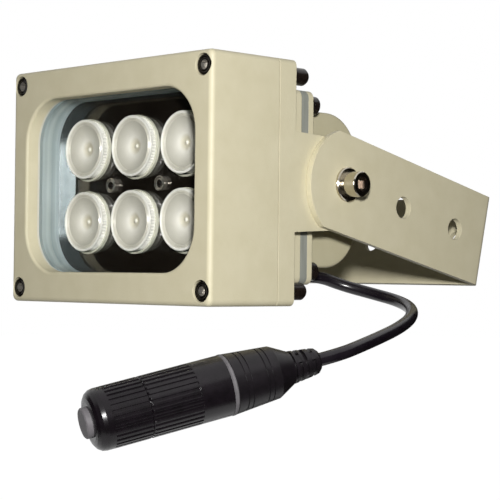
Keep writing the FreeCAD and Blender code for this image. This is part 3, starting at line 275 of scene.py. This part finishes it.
def two_tone_group():
    """Colour, roughness and height that vary over a surface at a coarse and a fine scale."""
    group, entry, result = new_group(
        "two_tone",
        {"First Color": "Color", "Second Color": "Color", "Coarse Scale": "Float", "Fine Scale": "Float",
         "Low Roughness": "Float", "High Roughness": "Float", "Stretch": "Vector"},
        {"Color": "Color", "Roughness": "Float", "Height": "Float"})
    place = add_node(group, "TexCoord")
    stretch = add_node(group, "VectorMath", {0: place.outputs["Object"], 1: entry.outputs["Stretch"]},
                       operation="MULTIPLY")
    coarse = add_node(group, "TexNoise", {"Vector": stretch.outputs[0], "Detail": MOTTLE_DETAIL,
                                          "Scale": entry.outputs["Coarse Scale"]})
    fine = add_node(group, "TexNoise", {"Vector": stretch.outputs[0], "Detail": GRAIN_DETAIL,
                                        "Scale": entry.outputs["Fine Scale"]})
    spread = add_node(group, "MapRange", {"Value": coarse.outputs["Fac"], "From Min": MOTTLE_LOW,
                                          "From Max": MOTTLE_HIGH})
    tones = add_node(group, "Mix", {"Factor": spread.outputs[0], "A": entry.outputs["First Color"],
                                    "B": entry.outputs["Second Color"]}, data_type="RGBA")
    shine = add_node(group, "MapRange", {"Value": fine.outputs["Fac"],
                                         "To Min": entry.outputs["Low Roughness"],
                                         "To Max": entry.outputs["High Roughness"]})
    feed(group, result, {"Color": tones.outputs["Result"], "Roughness": shine.outputs[0],
                         "Height": fine.outputs["Fac"]})
    return group


two_tone = two_tone_group()


def finish(name, first, second, mottle, grain, rough, bump, stretch=(1, 1, 1), corner=0.0, plain=None):
    """A material whose tone, gloss and skin come from the two-tone group. Mottle and grain
    are its two scales, and plain holds the sockets that are the same all over."""
    material, tree, shader = new_material(name)
    tones = add_node(tree, "Group", {"First Color": (*first, 1), "Second Color": (*second, 1),
                                     "Coarse Scale": mottle, "Fine Scale": grain, "Low Roughness": rough[0],
                                     "High Roughness": rough[1], "Stretch": stretch}, node_tree=two_tone)
    skin = add_node(tree, "Bump", {"Height": tones.outputs["Height"], "Distance": bump})
    if corner:
        rounding = add_node(tree, "Bevel", {"Radius": corner}, samples=CORNER_SAMPLES)
        feed(tree, skin, {"Normal": rounding.outputs[0]})
    feed(tree, shader, {"Base Color": tones.outputs["Color"], "Roughness": tones.outputs["Roughness"],
                        "Normal": skin.outputs[0], **(plain or {})})
    return material


def dress(material, *names):
    """Gives nodes of the solid model their material."""
    for name in names:
        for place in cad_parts[name].material_slots:
            place.material = material


dress(finish("cream_paint", **CREAM), "front_housing", "rear_cover", "bracket")
# Painted shade: past its flange, the pod's paint colour is multiplied darker.
pod_paint_and_shade = finish("pod_paint_and_shade", **CREAM)
pod_tree = pod_paint_and_shade.node_tree
pod_shader = only_node(pod_tree, "BSDF_PRINCIPLED")
pod_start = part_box("pod_cover")[0][1] + POD_FLANGE
pod_place = add_node(pod_tree, "TexCoord")
pod_parts = add_node(pod_tree, "SeparateXYZ", {0: pod_place.outputs["Object"]})
pod_shade_mask = add_node(pod_tree, "MapRange", {"Value": pod_parts.outputs["Y"], "From Min": pod_start,
                                           "From Max": pod_start + POD_BLEND})
pod_painted_shade = add_node(pod_tree, "Mix", {"Factor": pod_shade_mask.outputs[0], "B": POD_PAINTED_SHADE,
                                       "A": pod_shader.inputs["Base Color"].links[0].from_socket},
                     data_type="RGBA", blend_type="MULTIPLY")
feed(pod_tree, pod_shader, {"Base Color": pod_painted_shade.outputs["Result"]})
dress(pod_paint_and_shade, "pod_cover")


# Gaskets: a thick one of grey rubber, held against the raised back by the pod cover, and a
# thin pale one that is squeezed in the seam of the two castings.

grey_rubber = finish("grey_rubber", first=(0.235, 0.245, 0.215), second=(0.30, 0.31, 0.275), mottle=220,
                     grain=2600, rough=(0.5, 0.7), bump=0.00002, stretch=(1, 2.5, 0.2),
                     plain={"Specular IOR Level": 0.3})
dress(grey_rubber, "rear_gasket")
seam_rubber = finish("seam_rubber", first=(0.40, 0.37, 0.27), second=(0.46, 0.43, 0.32), mottle=300,
                     grain=2600, rough=(0.6, 0.8), bump=0.00002)
dress(seam_rubber, "seam_gasket")


# Window: a clear glass pane on a pale silicone ring. A blue-grey metal retainer fills the
# depth between the pane and the LED board, and keeps the pane in its place.

GLASS_TINT = (1.0, 1.0, 0.99, 1)
GLASS_INDEX = 1.5
GLASS_SMEAR = 90
GLASS_FILM = 0.008


def glass_finish(name):
    """Clear glass. Shadow and diffuse rays pass straight through, so what is behind is lit."""
    material, tree, shader = new_material(name)
    place = add_node(tree, "TexCoord")
    smear = add_node(tree, "TexNoise", {"Vector": place.outputs["Object"], "Scale": GLASS_SMEAR})
    gloss = add_node(tree, "MapRange", {"Value": smear.outputs["Fac"], "To Max": GLASS_FILM})
    feed(tree, shader, {"Base Color": GLASS_TINT, "Transmission Weight": 1.0, "IOR": GLASS_INDEX,
                        "Roughness": gloss.outputs[0]})
    path = add_node(tree, "LightPath")
    either = add_node(tree, "Math", {0: path.outputs["Is Shadow Ray"], 1: path.outputs["Is Diffuse Ray"]},
                      operation="MAXIMUM")
    clear = add_node(tree, "BsdfTransparent")
    mix = add_node(tree, "MixShader", {0: either.outputs[0], 1: shader.outputs[0], 2: clear.outputs[0]})
    feed(tree, only_node(tree, "OUTPUT_MATERIAL"), {"Surface": mix.outputs[0]})
    return material


dress(glass_finish("window_glass_clear"), "window_glass")
pale_silicone = finish("pale_silicone", first=(0.58, 0.57, 0.48), second=(0.64, 0.63, 0.54), mottle=300,
                       grain=2600, rough=(0.45, 0.6), bump=0.00001)
dress(pale_silicone, "window_seal")
retainer_finish = finish("retainer_finish", first=(0.29, 0.38, 0.40), second=(0.50, 0.60, 0.61), mottle=110,
                         grain=900, rough=(0.28, 0.36), bump=0.000008, stretch=(1, 3, 0.04),
                         plain={"Metallic": 0.25})
dress(retainer_finish, "glass_retainer")


# LED board: a circuit board under mirror-black lacquer, on a bare aluminium plate that takes
# up its heat. Two stainless socket screws with turned heads hold it.

HOLLOW_BLEND = 0.04
SPECKLE_SCALE = 900
BOARD_SCREW_RADIUS = 0.0028


def axis_distance_group():
    """Distance from one axis, or from the nearest of four in the corners of a rectangle."""
    group, entry, result = new_group(
        "axis_distance", {"Middle": "Vector", "Half Pitch": "Vector", "Across": "Vector"},
        {"Distance": "Float"})
    last = add_node(group, "TexCoord").outputs["Object"]
    for operation, socket in (("SUBTRACT", "Middle"), ("ABSOLUTE", None), ("SUBTRACT", "Half Pitch"),
                              ("MULTIPLY", "Across")):
        step = add_node(group, "VectorMath", {0: last}, operation=operation)
        if socket:
            feed(group, step, {1: entry.outputs[socket]})
        last = step.outputs[0]
    size = add_node(group, "VectorMath", {0: last}, operation="LENGTH")
    feed(group, result, {"Distance": size.outputs["Value"]})
    return group


def speckle_group():
    """A mix of two colours that changes with a fine grain."""
    group, entry, result = new_group("speckle", {"First Color": "Color", "Second Color": "Color"},
                                     {"Color": "Color"})
    place = add_node(group, "TexCoord")
    grain = add_node(group, "TexNoise", {"Vector": place.outputs["Object"], "Scale": SPECKLE_SCALE})
    tone = add_node(group, "Mix", {"Factor": grain.outputs["Fac"], "A": entry.outputs["First Color"],
                                   "B": entry.outputs["Second Color"]}, data_type="RGBA")
    feed(group, result, {"Color": tone.outputs["Result"]})
    return group


def tool_rings_group():
    """Height of the fine rings that a lathe leaves, by the distance from the axis."""
    group, entry, result = new_group("tool_rings", {"Distance": "Float", "Turn": "Float"},
                                     {"Height": "Float"})
    turn = add_node(group, "Math", {0: entry.outputs["Distance"], 1: entry.outputs["Turn"]},
                    operation="MULTIPLY")
    wave = add_node(group, "Math", {0: turn.outputs[0]}, operation="SINE")
    feed(group, result, {"Height": wave.outputs[0]})
    return group


def socket_tone_group():
    """Colour and roughness that change from a hollow round an axis to the body about it."""
    group, entry, result = new_group(
        "socket_tone",
        {"Distance": "Float", "Start": "Float", "End": "Float", "Hollow Color": "Color",
         "Body Color": "Color", "Hollow Roughness": "Float", "Body Roughness": "Float"},
        {"Color": "Color", "Roughness": "Float"})
    body = add_node(group, "MapRange", {"Value": entry.outputs["Distance"],
                                        "From Min": entry.outputs["Start"],
                                        "From Max": entry.outputs["End"]})
    tone = add_node(group, "Mix", {"Factor": body.outputs[0], "A": entry.outputs["Hollow Color"],
                                   "B": entry.outputs["Body Color"]}, data_type="RGBA")
    shine = add_node(group, "MapRange", {"Value": body.outputs[0],
                                         "To Min": entry.outputs["Hollow Roughness"],
                                         "To Max": entry.outputs["Body Roughness"]})
    feed(group, result, {"Color": tone.outputs["Result"], "Roughness": shine.outputs[0]})
    return group


axis_distance = axis_distance_group()
speckle = speckle_group()
tool_rings = tool_rings_group()
socket_tone = socket_tone_group()


def turned_finish(name, first, second, axis, ring_pitch, ring_depth, rough, metallic, hollow=None):
    """Metal turned round an axis, with fine tool rings and a speckle of two colours. Hollow
    tells how its socket differs."""
    material, tree, shader = new_material(name)
    distance = add_node(tree, "Group", axis, node_tree=axis_distance).outputs["Distance"]
    body = add_node(tree, "Group", {"First Color": (*first, 1), "Second Color": (*second, 1)},
                    node_tree=speckle)
    rings = add_node(tree, "Group", {"Distance": distance, "Turn": 2 * math.pi / ring_pitch},
                     node_tree=tool_rings)
    skin = add_node(tree, "Bump", {"Height": rings.outputs["Height"], "Distance": ring_depth})
    feed(tree, shader, {"Base Color": body.outputs["Color"], "Roughness": rough, "Metallic": metallic,
                        "Normal": skin.outputs[0]})
    if hollow:
        tones = add_node(tree, "Group", {"Distance": distance,
                                         "Start": hollow["radius"] * (1 - HOLLOW_BLEND),
                                         "End": hollow["radius"] * (1 + HOLLOW_BLEND),
                                         "Hollow Color": (*hollow["color"], 1),
                                         "Body Color": body.outputs["Color"],
                                         "Hollow Roughness": hollow["rough"], "Body Roughness": rough},
                         node_tree=socket_tone)
        feed(tree, shader, {"Base Color": tones.outputs["Color"], "Roughness": tones.outputs["Roughness"]})
    return material


mirror_black = finish("mirror_black", first=(0.004, 0.003, 0.002), second=(0.009, 0.007, 0.005), mottle=60,
                      grain=900, rough=(0.03, 0.07), bump=0.000001, plain={"IOR": 1.9})
dress(mirror_black, "led_board")
bare_aluminium = finish("bare_aluminium", first=(0.55, 0.55, 0.54), second=(0.62, 0.62, 0.61), mottle=400,
                        grain=3000, rough=(0.3, 0.45), bump=0.000005, plain={"Metallic": 1.0})
dress(bare_aluminium, "heat_spreader")
board_low, board_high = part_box("board_screws")
board_screw_axes = {"Middle": (0, 0, (board_low[2] + board_high[2]) / 2),
                    "Half Pitch": (board_high[0] - BOARD_SCREW_RADIUS, 0, 0), "Across": (1, 0, 1)}
# Painted shade: the hex socket of each screw is coloured nearly black.
board_screw_steel = turned_finish("board_screw_steel", first=(0.50, 0.47, 0.40), second=(0.34, 0.31, 0.26),
                                  axis=board_screw_axes, ring_pitch=0.0011, ring_depth=0.00009, rough=0.16,
                                  metallic=0.85,
                                  hollow={"color": (0.03, 0.025, 0.02), "radius": 0.00145, "rough": 0.3})
dress(board_screw_steel, "board_screws")


# Lenses: six moulded collimators of frosted clear plastic. Each has a bright flat rim, fine
# rings inside it, a dish that dives to a small pip over the LED, and a knurled side. They
# are pushed into their holders. Their colour, set by the distance from the axis, is partly
# painted light: a painted highlight on the pip, painted shade round it, and painted light
# and shade along the fine rings.

LENS_COUNT = 6
LENS_SEGMENTS = 120
LENS_RIM = 0.0115
LENS_SIDE = 0.0112
LENS_HEIGHT = 0.0044
LENS_FOOT = 0.0003
LENS_FLAT = 0.0008
LENS_BEVEL = 0.00018
LENS_STEP = 0.0008
EDGE_DEPTH = 0.0003
EDGE_RINGS = 3
RING_PITCH = 0.0005
RING_DEPTH = 0.00022
RING_SHAPE = ((0, 0), (0.35, 1.5), (0.7, 0.5))  # share of the pitch, and height in ring depths
DISH_EDGE = 0.00045
DISH_RADIUS = 0.0099
DISH_DEPTH = 0.0019
DISH_POWER = 1.5
THROAT_DEPTH = 0.0012
THROAT_RADIUS = 0.0026
PIP_HEIGHT = 0.0010
PIP_RADIUS = 0.0009
THROAT_RINGS = 11
THROAT_RING_STEP = 0.00022
BOWL_START = 0.0029
BOWL_RINGS = 8
BOWL_RING_STEP = 0.00085
KNURL_DEPTH = 0.00035
SHARP_EDGE = math.radians(32)
LENS_SETTLE = Vector((0.0006, 0.0007, 0.0003))  # from the plain solid's place to the lens's own
# Tones by share of the rim's radius: the plastic's own white and warm grey, with a painted highlight on the
# pip, painted shade in the ring round it, a painted light ring in the dish, and painted light and shade along
# the fine rings by the rim.
LENS_TONES_AND_PAINTED_LIGHT = ((0.0, (0.98, 0.96, 0.86, 1)), (0.055, (0.98, 0.97, 0.86, 1)), (0.085, (0.62, 0.59, 0.46, 1)),
              (0.17, (0.70, 0.67, 0.53, 1)), (0.30, (0.92, 0.91, 0.82, 1)), (0.58, (0.70, 0.69, 0.60, 1)),
              (0.80, (0.56, 0.55, 0.47, 1)), (0.83, (0.72, 0.71, 0.63, 1)), (0.86, (0.53, 0.52, 0.44, 1)),
              (0.89, (0.78, 0.77, 0.68, 1)), (0.91, (0.58, 0.57, 0.49, 1)), (0.93, (0.95, 0.95, 0.89, 1)),
              (1.0, (0.90, 0.90, 0.83, 1)))
LENS_ROUGHNESS = 0.3
LENS_GLOSS = 0.35
LENS_GLOSS_ROUGHNESS = 0.06
CLOUD_SCALE = 260
CLOUD_DETAIL = 3
CLOUD_DARK = 0.88
CLOUD_LIGHT = 1.06


def dish_depth(radius):
    """Depth of the dished front below the rim."""
    bowl = DISH_DEPTH * (1 - (radius / DISH_RADIUS) ** DISH_POWER)
    throat = THROAT_DEPTH * math.exp(-((radius / THROAT_RADIUS) ** 2))
    pip = PIP_HEIGHT * math.exp(-((radius / PIP_RADIUS) ** 2))
    return DISH_EDGE + bowl + throat - pip


def lens_profile():
    """Radius, depth behind the rim and whether the knurl is cut there, from the middle out."""
    dish = [step * THROAT_RING_STEP for step in range(1, THROAT_RINGS + 1)]
    dish += [BOWL_START + step * BOWL_RING_STEP for step in range(BOWL_RINGS)]
    points = [(radius, dish_depth(radius), False) for radius in dish]
    edge = LENS_RIM - LENS_FLAT
    for ring in range(EDGE_RINGS):
        radius = edge - RING_PITCH * (EDGE_RINGS - ring)
        for along, above in RING_SHAPE:
            points.append((radius + RING_PITCH * along, dish_depth(radius) - RING_DEPTH * above, False))
    points += [(edge, EDGE_DEPTH, False), (edge + LENS_BEVEL, 0, False), (LENS_RIM - LENS_BEVEL, 0, False),
               (LENS_RIM, LENS_BEVEL, False), (LENS_RIM, LENS_STEP - LENS_BEVEL, False),
               (LENS_RIM - LENS_BEVEL, LENS_STEP, False), (LENS_SIDE, LENS_STEP + LENS_BEVEL, False),
               (LENS_SIDE, LENS_STEP + LENS_BEVEL * 2, True), (LENS_SIDE, LENS_HEIGHT - LENS_FOOT, True),
               (LENS_SIDE, LENS_HEIGHT, False)]
    return points


def turned_mesh(name, points, segments):
    """Turns a profile about Y: a point in the middle, rings, and a flat back."""
    corners = [(0, dish_depth(0), 0)]
    for radius, depth, knurled in points:
        for step in range(segments):
            reach = radius - (KNURL_DEPTH if knurled and step % 2 else 0)
            turn = 2 * math.pi * step / segments
            corners.append((reach * math.cos(turn), depth, reach * math.sin(turn)))
    faces = [(0, 1 + step, 1 + (step + 1) % segments) for step in range(segments)]
    for ring in range(len(points) - 1):
        first, second = 1 + ring * segments, 1 + (ring + 1) * segments
        for step in range(segments):
            following = (step + 1) % segments
            faces.append((first + step, second + step, second + following, first + following))
    last = 1 + (len(points) - 1) * segments
    faces.append(tuple(last + step for step in reversed(range(segments))))
    data = bpy.data.meshes.new(name)
    data.from_pydata(corners, [], faces)
    data.polygons.foreach_set("use_smooth", [True] * len(data.polygons))
    data.set_sharp_from_angle(angle=SHARP_EDGE)
    return data


def lens_finish(name):
    """Frosted clear plastic, white at rim and side and greyer and warmer in the dish, with a painted
    highlight on the pip and painted light and shade in rings across the dish.
    """
    material, tree, shader = new_material(name)
    distance = add_node(tree, "Group", {"Middle": (0, 0, 0), "Half Pitch": (0, 0, 0), "Across": (1, 0, 1)},
                        node_tree=axis_distance)
    share = add_node(tree, "Math", {0: distance.outputs["Distance"], 1: LENS_RIM}, operation="DIVIDE")
    tones = add_node(tree, "ValToRGB", {"Fac": share.outputs[0]})
    stops = tones.color_ramp.elements
    stops[0].color = LENS_TONES_AND_PAINTED_LIGHT[0][1]
    stops[1].color = LENS_TONES_AND_PAINTED_LIGHT[-1][1]
    for position, color in LENS_TONES_AND_PAINTED_LIGHT[1:-1]:
        stops.new(position).color = color
    place = add_node(tree, "TexCoord")
    cloud = add_node(tree, "TexNoise", {"Vector": place.outputs["Object"], "Scale": CLOUD_SCALE,
                                        "Detail": CLOUD_DETAIL})
    shade = add_node(tree, "MapRange", {"Value": cloud.outputs["Fac"], "To Min": CLOUD_DARK,
                                        "To Max": CLOUD_LIGHT})
    clouded = add_node(tree, "VectorMath", {0: tones.outputs["Color"], "Scale": shade.outputs[0]},
                       operation="SCALE")
    feed(tree, shader, {"Base Color": clouded.outputs[0], "Roughness": LENS_ROUGHNESS,
                        "Coat Weight": LENS_GLOSS, "Coat Roughness": LENS_GLOSS_ROUGHNESS})
    return material


lens_data = turned_mesh("led_lens", lens_profile(), LENS_SEGMENTS)
lens_data.materials.append(lens_finish("lens_moulding"))
for number in range(1, LENS_COUNT + 1):
    low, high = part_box(f"led_lens_{number}")
    lens = bpy.data.objects.new(f"dressed_lens_{number}", lens_data)
    middle = Vector(((low[0] + high[0]) / 2, low[1], (low[2] + high[2]) / 2))
    lens.location = middle + LENS_SETTLE
    scene.collection.objects.link(lens)
    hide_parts(f"led_lens_{number}")
    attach(lens, "lamp")


# Lens holders and LEDs: each lens sits in a ring of clear moulded plastic, which is seen
# mostly along its edges, over an LED with an amber face. The LEDs are soldered to the board.

HOLDER_FIRST = (0.72, 0.72, 0.56, 1)
HOLDER_SECOND = (0.90, 0.90, 0.78, 1)
HOLDER_EDGE = 0.00022
HOLDER_BEND = 0.5
HOLDER_FAINT = 0.6
HOLDER_GLINT = 0.98
HOLDER_ROUGHNESS = 0.1


def clear_edges(name):
    """Clear plastic, half see-through, that turns opaque and pale along its edges: a painted glint where
    light gathers there.
    """
    material, tree, shader = new_material(name)
    rounding = add_node(tree, "Bevel", {"Radius": HOLDER_EDGE})
    shape = add_node(tree, "NewGeometry")
    bend = add_node(tree, "VectorMath", {0: rounding.outputs[0], 1: shape.outputs["Normal"]},
                    operation="DISTANCE")
    # Painted glint: the ring is more opaque where its edges round off.
    cover = add_node(tree, "MapRange", {"Value": bend.outputs["Value"], "From Max": HOLDER_BEND,
                                        "To Min": HOLDER_FAINT, "To Max": HOLDER_GLINT})
    tone = add_node(tree, "Group", {"First Color": HOLDER_FIRST, "Second Color": HOLDER_SECOND},
                    node_tree=speckle)
    feed(tree, shader, {"Base Color": tone.outputs["Color"], "Roughness": HOLDER_ROUGHNESS,
                        "Alpha": cover.outputs[0]})
    return material


dress(clear_edges("clear_ring"), *[f"lens_holder_{number}" for number in range(1, LENS_COUNT + 1)])
led_amber = finish("led_amber", first=(0.75, 0.62, 0.18), second=(0.82, 0.72, 0.3), mottle=900,
                   grain=5000, rough=(0.3, 0.5), bump=0.000005)
dress(led_amber, *[f"led_emitter_{number}" for number in range(1, LENS_COUNT + 1)])


# Driver: a green circuit board with a black coil and two black capacitors. It stands on four
# aluminium posts behind the LED board's plate, and is sealed in.

board_green = finish("board_green", first=(0.01, 0.09, 0.03), second=(0.02, 0.13, 0.05), mottle=300,
                     grain=2500, rough=(0.25, 0.4), bump=0.000005)
dress(board_green, "driver_board")
black_sleeve = finish("black_sleeve", first=(0.02, 0.02, 0.022), second=(0.03, 0.03, 0.033), mottle=300,
                      grain=2600, rough=(0.3, 0.45), bump=0.000005)
dress(black_sleeve, "driver_parts")
dress(bare_aluminium, "driver_standoffs")


# Fasteners of the castings: four black-oxide socket screws through the front's corners, with
# sockets coloured a lighter grey than their heads, and cap nuts behind, and four small screws in the pod
# cover.

FRONT_SCREW_RADIUS = 0.0035

screw_low, screw_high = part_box("front_screws")
screw_axes = {"Middle": (0, 0, (screw_low[2] + screw_high[2]) / 2),
              "Half Pitch": (screw_high[0] - FRONT_SCREW_RADIUS, 0,
                             (screw_high[2] - screw_low[2]) / 2 - FRONT_SCREW_RADIUS),
              "Across": (1, 0, 1)}
socket_screws = turned_finish("socket_screws", first=(0.030, 0.024, 0.020), second=(0.012, 0.010, 0.008),
                              axis=screw_axes, ring_pitch=0.0009, ring_depth=0.00007, rough=0.24,
                              metallic=0.85,
                              hollow={"color": (0.50, 0.48, 0.44), "radius": 0.0017, "rough": 0.32})
dress(socket_screws, "front_screws")
black_oxide = finish("black_oxide", first=(0.006, 0.004, 0.003), second=(0.016, 0.011, 0.009), mottle=900,
                     grain=5000, rough=(0.2, 0.34), bump=0.000006, corner=0.0002,
                     plain={"Specular IOR Level": 0.4})
dress(black_oxide, "pod_screws", "cap_nuts")


# Tilt bolts: two stainless cap screws on plain washers, which clamp the lamp's ears in the
# bracket's arms. They are turned bright and a little stained, and painted shade darkens
# their hex sockets.

washer_low, washer_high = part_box("pivot_washer_right")
tilt_axis = {"Middle": (0, (washer_low[1] + washer_high[1]) / 2, (washer_low[2] + washer_high[2]) / 2),
             "Half Pitch": (0, 0, 0), "Across": (0, 1, 1)}
# Painted shade: the hex socket of each bolt is coloured dark brown.
bolt_steel = turned_finish("bolt_steel", first=(0.60, 0.56, 0.47), second=(0.46, 0.42, 0.34),
                           axis=tilt_axis, ring_pitch=0.0011, ring_depth=0.00002, rough=0.14,
                           metallic=1.0,
                           hollow={"color": (0.20, 0.17, 0.145), "radius": 0.0029, "rough": 0.30})
dress(bolt_steel, "pivot_bolt_left", "pivot_bolt_right")
washer_steel = turned_finish("washer_steel", first=(0.62, 0.58, 0.50), second=(0.40, 0.35, 0.27),
                             axis=tilt_axis, ring_pitch=0.0006, ring_depth=0.000012, rough=0.2,
                             metallic=1.0)
dress(washer_steel, "pivot_washer_left", "pivot_washer_right")


# Supply cord: 4.6 mm of glossy black PVC. It leaves a grommet low in the lamp's back, runs
# in one loose bow beside it, and ends in the socket that is moulded on it.

CORD_DIAMETER = 0.0046
CORD_EXIT = (0.039, 0.0619, -0.0338)
CORD_POINTS = (CORD_EXIT, (0.039, 0.0739, -0.0338), (0.0439, 0.083, -0.0374), (0.0543, 0.0888, -0.0404),
               (0.067, 0.0892, -0.0429), (0.0787, 0.0835, -0.0456), (0.0873, 0.0728, -0.0489),
               (0.0926, 0.0592, -0.0522), (0.0962, 0.0448, -0.0551), (0.0988, 0.0313, -0.0578),
               (0.1001, 0.0211, -0.0599), (0.0968, 0.0135, -0.0619))
CORD_ROUND_STEPS = 8
CORD_LONG_STEPS = 14

cord_curve = bpy.data.curves.new("supply_cord", "CURVE")
cord_curve.dimensions = "3D"
cord_curve.bevel_depth = CORD_DIAMETER / 2
cord_curve.bevel_resolution = CORD_ROUND_STEPS
cord_curve.use_fill_caps = True
cord_line = cord_curve.splines.new("NURBS")
cord_line.points.add(len(CORD_POINTS) - 1)
for knot, point in zip(cord_line.points, CORD_POINTS):
    knot.co = (*(lamp_face + Vector(point)), 1)
cord_line.order_u = 3
cord_line.use_endpoint_u = True
cord_line.resolution_u = CORD_LONG_STEPS
cord_pvc = finish("cord_pvc", first=(0.006, 0.004, 0.007), second=(0.011, 0.009, 0.012), mottle=200,
                  grain=1800, rough=(0.2, 0.3), bump=0.00001, plain={"Specular IOR Level": 0.42})
cord_curve.materials.append(cord_pvc)
cord = bpy.data.objects.new("supply_cord", cord_curve)
scene.collection.objects.link(cord)
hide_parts("power_cord")
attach(cord, "lamp")
dress(cord_pvc, "cable_grommet")


# Connector: a soft black socket moulded on the cord, and a hard black nylon plug with its
# coupling ring. The sealing ring between them and the bung in the tail are grey rubber, and
# the pins inside are brass.

soft_black = finish("soft_black", first=(0.005, 0.004, 0.005), second=(0.009, 0.007, 0.009), mottle=350,
                    grain=2600, rough=(0.30, 0.42), bump=0.00002, plain={"Specular IOR Level": 0.35})
dress(soft_black, "socket_body")
black_nylon = finish("black_nylon", first=(0.004, 0.003, 0.004), second=(0.007, 0.005, 0.007), mottle=350,
                     grain=2600, rough=(0.2, 0.3), bump=0.00001, corner=0.0003,
                     plain={"Specular IOR Level": 0.38})
dress(black_nylon, "coupling_ring", "plug_body")
seal_grey = finish("seal_grey", first=(0.105, 0.10, 0.105), second=(0.14, 0.132, 0.14), mottle=400,
                   grain=2600, rough=(0.5, 0.65), bump=0.00001)
dress(seal_grey, "sealing_ring", "sealing_plug")
brass = finish("brass", first=(0.75, 0.55, 0.2), second=(0.82, 0.62, 0.26), mottle=400, grain=2600,
               rough=(0.2, 0.3), bump=0.000004, plain={"Metallic": 1.0})
dress(brass, "contact_pins")


# Clamp nut: the black nylon nut on the plug's tail. Its round end is drawn back from where
# the solid has it, so that the grey bung stands out as in the photograph.

NUT_END_SHIFT = 0.0018
NUT_END_LENGTH = 0.005

cord_end = lamp_face + Vector(CORD_POINTS[-1])
connector_way = (Vector(CORD_POINTS[-1]) - Vector(CORD_POINTS[-2])).normalized()
nut_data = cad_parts["clamp_nut"].data.copy()
stations = [(vertex.co - cord_end).dot(connector_way) for vertex in nut_data.vertices]
nut_end_start = max(stations) - NUT_END_LENGTH
for vertex, station in zip(nut_data.vertices, stations):
    if station > nut_end_start:
        vertex.co -= connector_way * NUT_END_SHIFT
nut_black = finish("nut_black", first=(0.004, 0.003, 0.004), second=(0.007, 0.005, 0.007), mottle=350,
                   grain=2600, rough=(0.22, 0.32), bump=0.00001, corner=0.0002,
                   plain={"Specular IOR Level": 0.28})
nut_data.materials.clear()
nut_data.materials.append(nut_black)
nut = bpy.data.objects.new("dressed_clamp_nut", nut_data)
scene.collection.objects.link(nut)
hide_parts("clamp_nut")
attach(nut, "clamp_nut")
